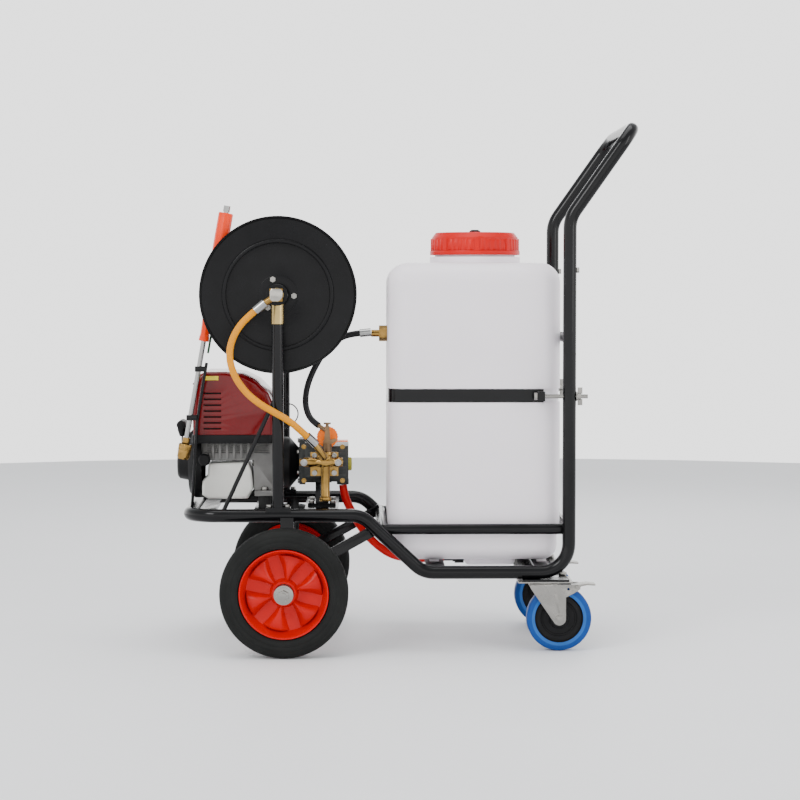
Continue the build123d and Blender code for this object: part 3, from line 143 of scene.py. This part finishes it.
finish_of = {
    "side_rail_left": paint, "side_rail_right": paint, "front_bow": paint, "handle_tube": paint,
    "platform_frame": paint, "tank_cradle": paint, "reel_posts": paint, "equipment_brackets": paint,
    "tank_strap": paint, "crank_arm": paint, "reel_discs": reel_black, "fasteners": zinc, "wheel_axle": zinc,
    "caster_plates": zinc, "caster_fork_left": zinc, "caster_fork_right": zinc, "brake_pedal_left": zinc,
    "brake_pedal_right": zinc, "caster_tread_left": caster_blue, "caster_tread_right": caster_blue,
    "caster_core_left": caster_black, "caster_core_right": caster_black, "tyre_left": tyre_rubber,
    "tyre_right": tyre_rubber, "rim_left": rim_red, "rim_right": rim_red, "tank_shell": tank_white,
    "tank_lid": lid_red, "lid_vent": black_plastic, "filter_basket": mesh_black, "tank_outlet": black_plastic,
    "engine_crankcase": cast_grey, "engine_covers": black_plastic, "engine_shroud": shroud_red,
    "recoil_housing": black_plastic, "starter_grip": black_plastic, "fuel_tank": fuel_white,
    "fuel_cap": black_plastic, "oil_filler_cap": black_plastic, "engine_mounts": soft_black,
    "muffler": muffler_steel, "drive_shaft": zinc, "pump_body": pump_grey, "pump_manifold": brass,
    "oil_sight_glass": sight, "regulator_body": bronze, "regulator_knob": orange, "reel_drum": zinc,
    "reel_collars": yellow_zinc, "crank_grip": black_plastic, "gun_lance": chrome,
    "gun_rear_grip": grip_orange,
    "gun_front_grip": grip_orange, "gun_nozzle": brass, "feed_hose": hose_yellow, "return_hose": hose_black,
    "suction_hose": hose_red, "engine_lead": hose_black, "hose_ferrules": chrome, "brass_fittings": brass,
}
bevel_of = {
    "platform_frame": 0.8, "tank_cradle": 0.6, "equipment_brackets": 0.6, "pump_body": 1.2,
    "engine_crankcase": 1.2,
    "engine_covers": 1.0, "engine_shroud": 1.2, "caster_fork_left": 0.4, "caster_fork_right": 0.4,
    "fasteners": 0.35, "brass_fittings": 0.5, "pump_manifold": 0.5, "tank_lid": 0.8, "recoil_housing": 1.0,
    "fuel_tank": 1.2, "muffler": 1.0, "brake_pedal_left": 0.5, "brake_pedal_right": 0.5, "reel_discs": 0.4,
    "regulator_body": 0.5, "regulator_knob": 0.5, "starter_grip": 0.6, "caster_plates": 0.4,
    "wheel_axle": 0.3,
}


def finish_node(name, material):
    """Gives a CAD node its material, joined vertices, soft edges and smooth curved faces."""
    obj = nodes[name]
    obj.data.materials.clear()
    obj.data.materials.append(material)
    for polygon in obj.data.polygons:
        polygon.use_smooth = True
    weld = obj.modifiers.new("weld", "WELD")
    weld.merge_threshold = 0.00001
    if name in bevel_of:
        bevel = obj.modifiers.new("bevel", "BEVEL")
        bevel.width = bevel_of[name] * MM
        bevel.segments = 2
        bevel.limit_method = "ANGLE"
        bevel.angle_limit = math.radians(35)
        bevel.use_clamp_overlap = True
    split = obj.modifiers.new("split", "EDGE_SPLIT")
    split.split_angle = math.radians(32)


for node_name, node_material in finish_of.items():
    finish_node(node_name, node_material)


# ---- Cords: each one smooth line through its own points ------------------------
def cord_curve(name, points_mm, radius_mm):
    """Open NURBS tube with these control points, in millimetres."""
    data = bpy.data.curves.new(name, "CURVE")
    data.dimensions = "3D"
    data.resolution_u = 12
    data.bevel_depth = radius_mm * MM
    data.bevel_resolution = 6
    data.use_fill_caps = True
    spline = data.splines.new("NURBS")
    spline.points.add(len(points_mm) - 1)
    for point, place in zip(spline.points, points_mm):
        point.co = (place[0] * MM, place[1] * MM, place[2] * MM, 1)
    spline.order_u = 3
    spline.use_endpoint_u = True
    obj = bpy.data.objects.new(name, data)
    bpy.context.scene.collection.objects.link(obj)
    return obj


feed_points = [(-281, -226, 653), (-298, -226, 639), (-313, -226, 621), (-325, -226, 598), (-330, -226, 572),
               (-326, -224, 545), (-314, -221, 519), (-296, -218, 496), (-273, -215, 477), (-247, -212, 462),
               (-221, -208, 447), (-202, -199, 431), (-185, -188, 414)]
return_points = [(-84, -40, 607), (-102, -40, 605), (-119, -41, 599.5), (-135, -43, 590), (-150, -46, 576),
                 (-163, -51, 557), (-175, -57, 535), (-185, -65, 511), (-190, -75, 488), (-190, -87, 467),
                 (-184, -100, 449), (-175, -113, 438), (-164, -125, 431)]
suction_points = [(82, -15, 160.5), (60, -15, 160), (38, -16, 159), (16, -16, 160), (-6, -17, 162),
                  (-26, -17, 169), (-44, -18, 181), (-61, -18, 196), (-76, -18, 213), (-89, -17, 232),
                  (-100, -16, 252), (-109, -16, 270), (-115.2, -15, 288), (-118, -15, 306)]
lead_points = [(-248.6, 60, 456), (-239, 60, 461), (-229, 60, 463.5), (-218, 60, 461), (-210, 60, 452),
               (-208, 60, 441), (-212, 60, 430), (-221, 60, 421), (-232, 60, 413), (-242, 60, 406),
               (-249.6, 60, 402)]
cord_rows = (
    ("return_hose_line", "return_hose", return_points, 6.0, 0.261, hose_black, "hose_black"),
    ("suction_hose_line", "suction_hose", suction_points, 8.0, 0.279, hose_red, "hose_red"),
    ("engine_lead_line", "engine_lead", lead_points, 1.25, 0.113, hose_black, "hose_black"),
)
for line_name, node, points, radius, length, material, slot_name in cord_rows:
    line = cord_curve(line_name, points, radius)
    line.data.materials.append(material)
    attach(line, "root")
    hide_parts(node)


def line_of(curve):
    """Points in metres along a curve object's own line, with no thickness."""
    depth = curve.data.bevel_depth
    curve.data.bevel_depth = 0.0
    mesh = bpy.data.meshes.new_from_object(curve)
    curve.data.bevel_depth = depth
    places = [vertex.co.copy() for vertex in mesh.vertices]
    bpy.data.meshes.remove(mesh)
    return places


def new_mesh_object(name, bm, material, smooth=True, body="root", split_angle=None):
    """Turns bm into a piece that rides on a body."""
    mesh = bpy.data.meshes.new(name)
    bmesh.ops.recalc_face_normals(bm, faces=bm.faces)
    bm.to_mesh(mesh)
    bm.free()
    for polygon in mesh.polygons:
        polygon.use_smooth = smooth
    mesh.materials.append(material)
    obj = bpy.data.objects.new(name, mesh)
    bpy.context.scene.collection.objects.link(obj)
    if split_angle:
        split = obj.modifiers.new("split", "EDGE_SPLIT")
        split.split_angle = math.radians(split_angle)
    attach(obj, body)
    return obj


def skin_rings(bm, rings, closed=True, caps=True):
    """Joins successive loops of vertices with quads."""
    count = len(rings[0])
    for first, second in zip(rings, rings[1:]):
        for index in range(count if closed else count - 1):
            after = (index + 1) % count
            bm.faces.new((first[index], first[after], second[after], second[index]))
    if caps:
        bm.faces.new(rings[0])
        bm.faces.new(list(reversed(rings[-1])))


def ribbed_hose(name, points_mm, radius_mm, rib_mm, pitch_mm, material, steps_per_rib=4, around=28):
    """Hose mesh with fine ribs across it, following the NURBS line of its control points."""
    guide = cord_curve(name + "_guide", points_mm, radius_mm)
    guide.data.resolution_u = 40
    places = line_of(guide)
    bpy.data.objects.remove(guide)
    total = [0.0]
    for before, after in zip(places, places[1:]):
        total.append(total[-1] + (after - before).length)
    steps = int(total[-1] / (pitch_mm * MM)) * steps_per_rib
    bm = bmesh.new()
    rings = []
    side = None
    segment = 0
    path = []
    for step in range(steps + 1):
        along = total[-1] * step / steps
        while segment < len(total) - 2 and total[segment + 1] < along:
            segment += 1
        part = (along - total[segment]) / max(1e-9, total[segment + 1] - total[segment])
        centre = places[segment].lerp(places[segment + 1], part)
        tangent = (places[min(segment + 1, len(places) - 1)] - places[segment]).normalized()
        if side is None:
            side = tangent.orthogonal().normalized()
        side = (side - tangent * side.dot(tangent)).normalized()
        up = tangent.cross(side)
        swell = rib_mm * (0.5 - 0.5 * math.cos(2 * math.pi * step / steps_per_rib))
        radius = (radius_mm - swell) * MM
        rings.append([bm.verts.new(centre + side * (radius * math.cos(turn)) + up * (radius * math.sin(turn)))
                      for turn in (2 * math.pi * k / around for k in range(around))])
        path.append(tuple(centre))
    skin_rings(bm, rings)
    return new_mesh_object(name, bm, material), path


feed_hose, feed_path = ribbed_hose("feed_hose_ribbed", feed_points, 6.75, 0.35, 2.6, hose_yellow)
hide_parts("feed_hose")


# ---- Turned and swept detail pieces ----------------------------------------------
def turned_piece(name, profile, origin, axis, material, body, around=72, wave=None, angle=30):
    """Solid of revolution: profile rows are (distance along the axis, radius) in millimetres.

    wave(turn, row) gives a radius change in millimetres at that angle, for ribs and knurls.
    """
    direction = Vector(axis).normalized()
    turn_to = direction.to_track_quat("Z", "X").to_matrix()
    bm = bmesh.new()
    rings = []
    for row, (along, radius) in enumerate(profile):
        loop = []
        for k in range(around):
            turn = 2 * math.pi * k / around
            change = wave(turn, row) if wave else 0.0
            local = Vector(((radius + change) * math.cos(turn), (radius + change) * math.sin(turn), along))
            loop.append(bm.verts.new((Vector(origin) + turn_to @ local) * MM))
        rings.append(loop)
    closed_profile = profile[0] == profile[-1]
    if closed_profile:
        for index in range(around):
            bm.verts.remove(rings[-1][index])
        rings[-1] = rings[0]
    skin_rings(bm, rings, caps=not closed_profile)
    return new_mesh_object(name, bm, material, body=body, split_angle=angle)


wheel_x = -227.4
wheel_y = 240
wheel_z = 121.6
reel_x = -241
reel_z = 683
reel_face_y = 149.5
# Half-section of the tyre from the outer bead, over the tread, to the inner bead.
tyre_half = [(24, 85.4), (27.5, 86.2), (29.2, 88.0), (29.0, 89.4), (30.3, 91), (30.9, 95), (30.9, 98.2),
             (30.4, 98.9),
             (30.4, 99.7), (30.9, 100.4), (30.7, 105), (30.2, 107.2), (29.6, 107.8), (29.4, 108.6),
             (29.5, 109.4),
             (28.6, 112.5), (27.2, 115.5), (24.8, 118.4), (21.8, 120.4), (18.4, 121.4), (14.2, 121.6),
             (13.6, 120.5), (12.4, 120.5), (11.8, 121.6), (3.2, 121.6), (2.6, 120.5), (1.4, 120.5),
             (0.8, 121.6)]
tyre_section = tyre_half + [(-along, radius) for along, radius in reversed(tyre_half)]
tyre_section = tyre_section + [(-24, 80.6), (24, 80.6), tyre_section[0]]
for side, sign in (("left", -1), ("right", 1)):
    tyre = turned_piece("tyre_detail_" + side, tyre_section, (wheel_x, sign * wheel_y, wheel_z), (0, sign, 0),
                        tyre_rubber, "wheel_" + side, around=120, angle=42)
    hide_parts("tyre_" + side)


def lobe_piece(name, side, sign):
    """Six raised half-cones on the dish, each narrow at the hub and wide and open at the rim."""
    bm = bmesh.new()
    for lobe in range(6):
        middle = math.radians(17 + 60 * lobe)
        rings = []
        for step in range(13):
            along = step / 12
            radius = 23.5 + along * 47.5
            half_angle = math.radians(9 + 12.5 * along ** 0.8)
            crown = 4.0 + 9.5 * math.sin(math.pi * min(1.0, 0.15 + along * 0.62))
            loop = []
            for k in range(17):
                across = -1 + k / 8
                turn = middle + half_angle * across
                height = -4.6 + crown * max(0.0, 1 - abs(across) ** 2.3)
                place = Vector((wheel_x + radius * math.cos(turn), sign * (wheel_y + height),
                                wheel_z + radius * math.sin(turn)))
                loop.append(bm.verts.new(place * MM))
            rings.append(loop)
        for first, second in zip(rings, rings[1:]):
            for index in range(16):
                bm.faces.new((first[index], first[index + 1], second[index + 1], second[index]))
        for end in (rings[0], rings[-1]):
            bm.faces.new(end)
    return new_mesh_object(name, bm, rim_red, body="wheel_" + side, split_angle=38)


dish_profile = [(29.4, 84.2), (29.4, 82.6), (28.2, 81.2), (24.5, 79.6), (14, 77.2), (2, 74.6), (-3.6, 72.5),
                (-4.8, 69), (-5.2, 40), (-4.4, 27.5), (-1, 25.0), (8.5, 23.9), (11.4, 23.4), (12.4, 22.4),
                (12.4, 18.6), (-34, 18.6), (-34, 22.5), (-9, 24), (-9, 74), (-29, 77.5), (-29.2, 84.2),
                (-26, 84.8),
                (-23, 79.8), (23, 79.8), (26, 84.8), (29.4, 84.2)]
for side, sign in (("left", -1), ("right", 1)):
    dish = turned_piece("rim_dish_" + side, dish_profile, (wheel_x, sign * wheel_y, wheel_z), (0, sign, 0),
                        rim_red, "wheel_" + side, around=120, angle=35)
    lobe_piece("rim_lobes_" + side, side, sign)
    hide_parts("rim_" + side)

# Caster wheels: blue tread with a lighter inner ring, stepped black core.
caster_section = [(15, 52.5), (15, 58.5), (13.6, 61), (11, 62.3), (-11, 62.3), (-13.6, 61), (-15, 58.5),
                  (-15, 52.5), (-13.4, 46.6), (13.4, 46.6), (15, 52.5)]
core_section = [(18, 9.5), (18, 16), (16.5, 17.4), (8.2, 19), (7, 21), (7, 30.5), (8, 31.5), (8, 33.5),
                (9.6, 35.5),
                (9.6, 43.4), (11.6, 44.6), (13.2, 45.9), (13.2, 46.5), (-13.2, 46.5), (-13.2, 45.9),
                (-11.6, 44.6),
                (-9.6, 43.4), (-9.6, 35.5), (-8, 33.5), (-8, 31.5), (-7, 30.5), (-7, 21), (-8.2, 19),
                (-16.5, 17.4), (-18, 16), (-18, 9.5), (18, 9.5)]
for side, sign in (("left", -1), ("right", 1)):
    body = "caster_wheel_" + side
    centre = (298, sign * 165, 62.5)
    tread = turned_piece("caster_tyre_" + side, caster_section, centre, (0, 1, 0), caster_blue, body,
                         around=96)
    core = turned_piece("caster_hub_" + side, core_section, centre, (0, 1, 0), caster_black, body,
                        around=96)
    ring_faces = [polygon for polygon in tread.data.polygons
                  if abs(polygon.normal.y) > 0.5 and (polygon.center - Vector(centre) * MM).length < 0.0535]
    tread.data.materials.append(caster_rim_blue)
    for polygon in ring_faces:
        polygon.material_index = 1
    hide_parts("caster_tread_" + side)
    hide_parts("caster_core_" + side)

# ---- Engine: louvred shroud trim, blank patch and fins ------------------------------
def plate_piece(name, outline, low_y, high_y, material, bevel=0.6, body="root"):
    """Plate whose outline is (X, Z) in millimetres, between two Y values, with soft edges."""
    bm = bmesh.new()
    near = [bm.verts.new(Vector((x, low_y, z)) * MM) for x, z in outline]
    far = [bm.verts.new(Vector((x, high_y, z)) * MM) for x, z in outline]
    skin_rings(bm, [near, far])
    obj = new_mesh_object(name, bm, material, smooth=True, body=body)
    edge = obj.modifiers.new("bevel", "BEVEL")
    edge.width = bevel * MM
    edge.segments = 2
    edge.limit_method = "ANGLE"
    edge.angle_limit = math.radians(35)
    split = obj.modifiers.new("split", "EDGE_SPLIT")
    split.split_angle = math.radians(40)
    return obj


shroud_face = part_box("engine_shroud")[0][1] / MM
plate_piece("blank_label", [(-389, 517), (-359, 517), (-359, 525), (-386, 525)], shroud_face - 0.35,
            shroud_face + 0.5, label_yellow, bevel=0.15)
for row in range(9):
    z = 424 + 10.5 * row
    plate_piece(f"shroud_fin_{row}", [(-409, z), (-399, z + 1.6), (-399, z + 4.6), (-409, z + 3.4)],
                shroud_face + 4, shroud_face + 26, shroud_red, bevel=0.5)
for row in range(6):
    z = 372 + 3.6 * row
    plate_piece(f"cylinder_fin_{row}", [(-384, z), (-262, z), (-262, z + 1.2), (-384, z + 1.2)], -60.5, -50,
                cast_grey, bevel=0.3)


def hex_screw(name, place, axis, flats, height, material, body="root"):
    """Hexagon head with a chamfered crown and a washer under it."""
    direction = Vector(axis).normalized()
    corner = flats / math.sqrt(3)

    def six(turn, row):
        """Draws the head's rows in to six flats, and leaves the washer and the crown round."""
        if row not in (3, 4, 5):
            return 0.0
        return -corner * (1 - math.cos(math.pi / 6) / math.cos(abs(turn % (math.pi / 3) - math.pi / 6)))

    profile = [(0, corner * 1.25), (0.9, corner * 1.25), (1.0, corner * 0.99), (1.0, corner),
               (height * 0.8, corner),
               (height, corner * 0.9), (height, corner * 0.5)]
    return turned_piece(name, profile, place, direction, material, body, around=36, wave=six)


# Small brass and chrome screws on the pump's face and manifold.
pump_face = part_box("pump_body")[0][1] / MM
for count, (x, z) in enumerate(((-193, 388), (-118, 388), (-193, 322), (-118, 322))):
    hex_screw(f"pump_screw_{count}", (x, pump_face + 1, z), (0, -1, 0), 6.5, 4, brass)
for count, (x, z) in enumerate(((-192, 360), (-126, 360))):
    hex_screw(f"manifold_screw_{count}", (x, -139, z), (0, -1, 0), 9, 5, chrome)

# Reel: a pressed ring step near the rim and a lip at the rim.
for side, sign in (("left", -1), ("right", 1)):
    step = [(0.0, 99), (0.9, 100.5), (1.1, 103), (0.9, 105.5), (0.0, 107), (-0.6, 107), (-0.6, 99), (0.0, 99)]
    turned_piece("reel_step_" + side, step, (reel_x, sign * reel_face_y, reel_z), (0, sign, 0), reel_black,
                 "reel",
                 around=128, angle=60)
    lip = [(-1.2, 148.2), (0.6, 149.0), (1.2, 150.2), (0.6, 150.9), (-2.0, 150.9), (-2.0, 148.2),
           (-1.2, 148.2)]
    turned_piece("reel_lip_" + side, lip, (reel_x, sign * reel_face_y, reel_z), (0, sign, 0), reel_black,
                 "reel",
                 around=128, angle=60)

# Lid: grip ribs round the skirt.
def skirt_ribs(turn, row):
    return 0.9 * math.cos(48 * turn) if row in (1, 2) else 0.0


skirt = [(0.0, 86.2), (1.5, 86.8), (20.5, 86.0), (22.5, 84.5), (22.5, 80), (0.0, 80), (0.0, 86.2)]
turned_piece("lid_skirt_ribs", skirt, (144, 0, 770), (0, 0, 1), lid_red, "tank_lid",
             around=384, wave=skirt_ribs, angle=50)

# ---- Reel bearings, swivel elbow and small hardware ----------------------------------
nickel = make_material("nickel", (0.4, 0.385, 0.35), 0.2, metal=1.0, vary=0.12, vary_scale=60, grain=0.06)
for side, sign in (("left", -1), ("right", 1)):
    cover = [(177.7, 13.2), (177.7, 20.0), (178.4, 20.7), (201.8, 20.7), (202.6, 20.0), (202.6, 13.2),
             (177.7, 13.2)]
    turned_piece("reel_collar_cover_" + side, cover, (reel_x, 0, reel_z), (0, sign, 0), reel_black, "root",
                 around=64, angle=30)
elbow_outline = [(-253.3, 675), (-249, 670.7), (-236, 670.7), (-228.7, 678), (-228.7, 691), (-233, 695.3),
                 (-249, 695.3), (-253.3, 691)]
plate_piece("swivel_elbow", elbow_outline, -236.4, -211.6, nickel, bevel=1.6)

# Pump: orange gasket line and a chamfered crown on the sight cap.
plate_piece("pump_gasket", [(-133, 397.6), (-107.4, 397.6), (-107.4, 399.0), (-133, 399.0)], -103, -62,
            orange,
            bevel=0.2)
sight_crown = [(0.0, 13.1), (3.0, 13.3), (8.6, 12.8), (10.2, 11.4), (10.6, 8.0), (9.4, 6.4), (9.4, 2.0),
               (0, 2.0),
               (0.0, 13.1)]


def knurl(turn, row):
    return 0.35 * math.cos(30 * turn) if row in (1, 2) else 0.0


turned_piece("sight_cap", sight_crown, (-110.4, -20, 348), (1, 0, 0), sight, "root",
             around=180, wave=knurl, angle=40)
knob_profile = [(0.0, 6), (0.0, 19.2), (0.9, 20.4), (6.6, 20.4), (7.6, 19.4), (7.8, 14), (7.0, 12), (7.0, 6),
                (0.0, 6)]


def knob_ribs(turn, row):
    return 0.5 * math.cos(24 * turn) if row in (2, 3) else 0.0


turned_piece("knob_rim", knob_profile, (-147, -118.4, 408), (0, 1, 0), orange, "regulator_knob",
             around=168, wave=knob_ribs, angle=40)

# Recoil cover: raised rings on its front face.
for ring_count, ring_radius in enumerate((41, 48, 55)):
    ring_section = [(-1.0, ring_radius - 1.2), (0.8, ring_radius - 0.8), (0.8, ring_radius + 0.8),
                    (-1.0, ring_radius + 1.2), (-1.0, ring_radius - 1.2)]
    turned_piece(f"recoil_ring_{ring_count}", ring_section, (-421, 0, 350), (-1, 0, 0), black_plastic, "root",
                 around=72, angle=40)

# Spray gun: moulded grips with shallow flats, a flared lower end, and a knurled nozzle collar.
gun_top = Vector((-341, -120, 840))
gun_down = (Vector((-426, -120, 366)) - gun_top).normalized()


def grip_flats(turn, row):
    return 0.28 * math.cos(8 * turn) if 1 < row < 6 else 0.0


rear_grip = [(0.0, 5.4), (0.0, 12.6), (1.4, 13.8), (60, 13.9), (104, 13.2), (118, 13.2), (122.6, 12.8),
             (122.8, 5.4),
             (0.0, 5.4)]
front_grip = [(124.2, 5.4), (124.2, 12.6), (126, 13.3), (150, 13.1), (206, 9.4), (236, 8.2), (243, 9.6),
              (249.6, 9.9),
              (250.2, 9.0), (250.2, 5.4), (124.2, 5.4)]
rear = turned_piece("gun_rear_grip_moulded", rear_grip, gun_top, gun_down, grip_orange, "gun_rear_grip",
                    around=96, wave=grip_flats, angle=50)
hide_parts("gun_rear_grip")
front = turned_piece("gun_front_grip_moulded", front_grip, gun_top, gun_down, grip_orange, "spray_gun",
                     around=96, wave=grip_flats, angle=50)
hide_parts("gun_front_grip")


def nozzle_knurl(turn, row):
    return 0.3 * math.cos(28 * turn) if row in (2, 3) else 0.0


collar = [(452, 8), (452, 11.8), (453, 12.6), (464, 12.6), (465, 11.8), (465, 8), (452, 8)]
turned_piece("nozzle_collar", collar, gun_top, gun_down, brass, "gun_nozzle", around=140,
             wave=nozzle_knurl, angle=40)

# Caster hardware: a pressed channel down each fork plate.
for side, sign in (("left", -1), ("right", 1)):
    fork_face = 165 + 21.5
    plate_piece("fork_channel_" + side, [(287, 112), (292.5, 112), (300.5, 74), (295.5, 74)],
                sign * fork_face - 0.5, sign * fork_face + 0.5, zinc, bevel=0.4,
                body="caster_" + side)

# Dark sheet inside the shroud, seen through the louvres from both sides: painted shade for the shadow in the
# louvre gaps.
for side, low_y in (("left", -85.5), ("right", 84.0)):
    plate_piece("louvre_painted_shade_" + side, [(-405, 416), (-320, 416), (-330, 506), (-398, 506)], low_y,
                low_y + 1.5,
                soft_black, bevel=0.3)

# Green guard rod beside the lance.
rod_line = cord_curve("holder_rod_green", [(-377.5, -112, 570), (-371.5, -112, 604), (-366.5, -112, 632)],
                      2.2)
rod_green = make_material("rod_green", (0.004, 0.05, 0.015), 0.3, vary=0.2, vary_scale=60, grain=0.05)
rod_line.data.materials.append(rod_green)
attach(rod_line, "root")


# ---- Floor, light and camera -----------------------------------------------------
floor_material = make_material("floor_white", (0.86, 0.86, 0.87), 0.6, vary=0.01, vary_scale=2, grain=0.02,
                               grain_scale=60)
bm = bmesh.new()
floor_ring = [bm.verts.new((4.6 * math.cos(k * math.pi / 24), 4.6 * math.sin(k * math.pi / 24), -0.0006))
              for k in range(48)]
bm.faces.new(floor_ring)
floor_mesh = bpy.data.meshes.new("floor")
bm.to_mesh(floor_mesh)
bm.free()
floor_mesh.materials.append(floor_material)
floor = bpy.data.objects.new("floor", floor_mesh)
bpy.context.scene.collection.objects.link(floor)

world = bpy.data.worlds.new("studio")
world.use_nodes = True
world_tree = world.node_tree
direction = world_tree.nodes.new("ShaderNodeTexCoord")
split_direction = world_tree.nodes.new("ShaderNodeSeparateXYZ")
world_tree.links.new(direction.outputs["Generated"], split_direction.inputs["Vector"])
sky = world_tree.nodes.new("ShaderNodeValToRGB")
sky.color_ramp.elements[0].position = 0.16
sky.color_ramp.elements[0].color = (1.0, 1.0, 1.0, 1)
sky.color_ramp.elements[1].position = 0.5
sky.color_ramp.elements[1].color = (0.42, 0.43, 0.44, 1)
world_tree.links.new(split_direction.outputs["Z"], sky.inputs["Fac"])
world_tree.links.new(sky.outputs["Color"], world_tree.nodes["Background"].inputs["Color"])
world_tree.nodes["Background"].inputs["Strength"].default_value = 2.3
bpy.context.scene.world = world


def area_light(name, place, target, width, height, power):
    """Soft rectangular light aimed at a point."""
    data = bpy.data.lights.new(name, "AREA")
    data.shape = "RECTANGLE"
    data.size = width
    data.size_y = height
    data.energy = power
    lamp = bpy.data.objects.new(name, data)
    bpy.context.scene.collection.objects.link(lamp)
    aim = Vector(target) - Vector(place)
    lamp.location = place
    lamp.rotation_euler = aim.to_track_quat("-Z", "Y").to_euler()


area_light("key", (-1.7, -2.3, 2.5), (-0.1, 0, 0.45), 1.2, 1.2, 50)
area_light("overhead", (0.1, -0.1, 3.0), (0, 0, 0.4), 2.4, 1.6, 42)
area_light("fill", (2.4, -1.8, 1.4), (0, 0, 0.5), 0.8, 1.8, 22)
area_light("rear", (0.6, 2.6, 2.0), (0, 0, 0.5), 1.8, 1.0, 20)

camera_data = bpy.data.cameras.new("camera")
camera_data.lens = 99.5
camera_data.sensor_width = 36
camera_data.clip_end = 50
camera = bpy.data.objects.new("camera", camera_data)
camera.location = (-0.084, -4.390, 0.702)
yaw = math.radians(1.04)
pitch = math.radians(2.98)
heading = Vector((math.sin(yaw) * math.cos(pitch), math.cos(yaw) * math.cos(pitch), -math.sin(pitch)))
camera.rotation_euler = heading.to_track_quat("-Z", "Y").to_euler()
bpy.context.scene.collection.objects.link(camera)
bpy.context.scene.camera = camera
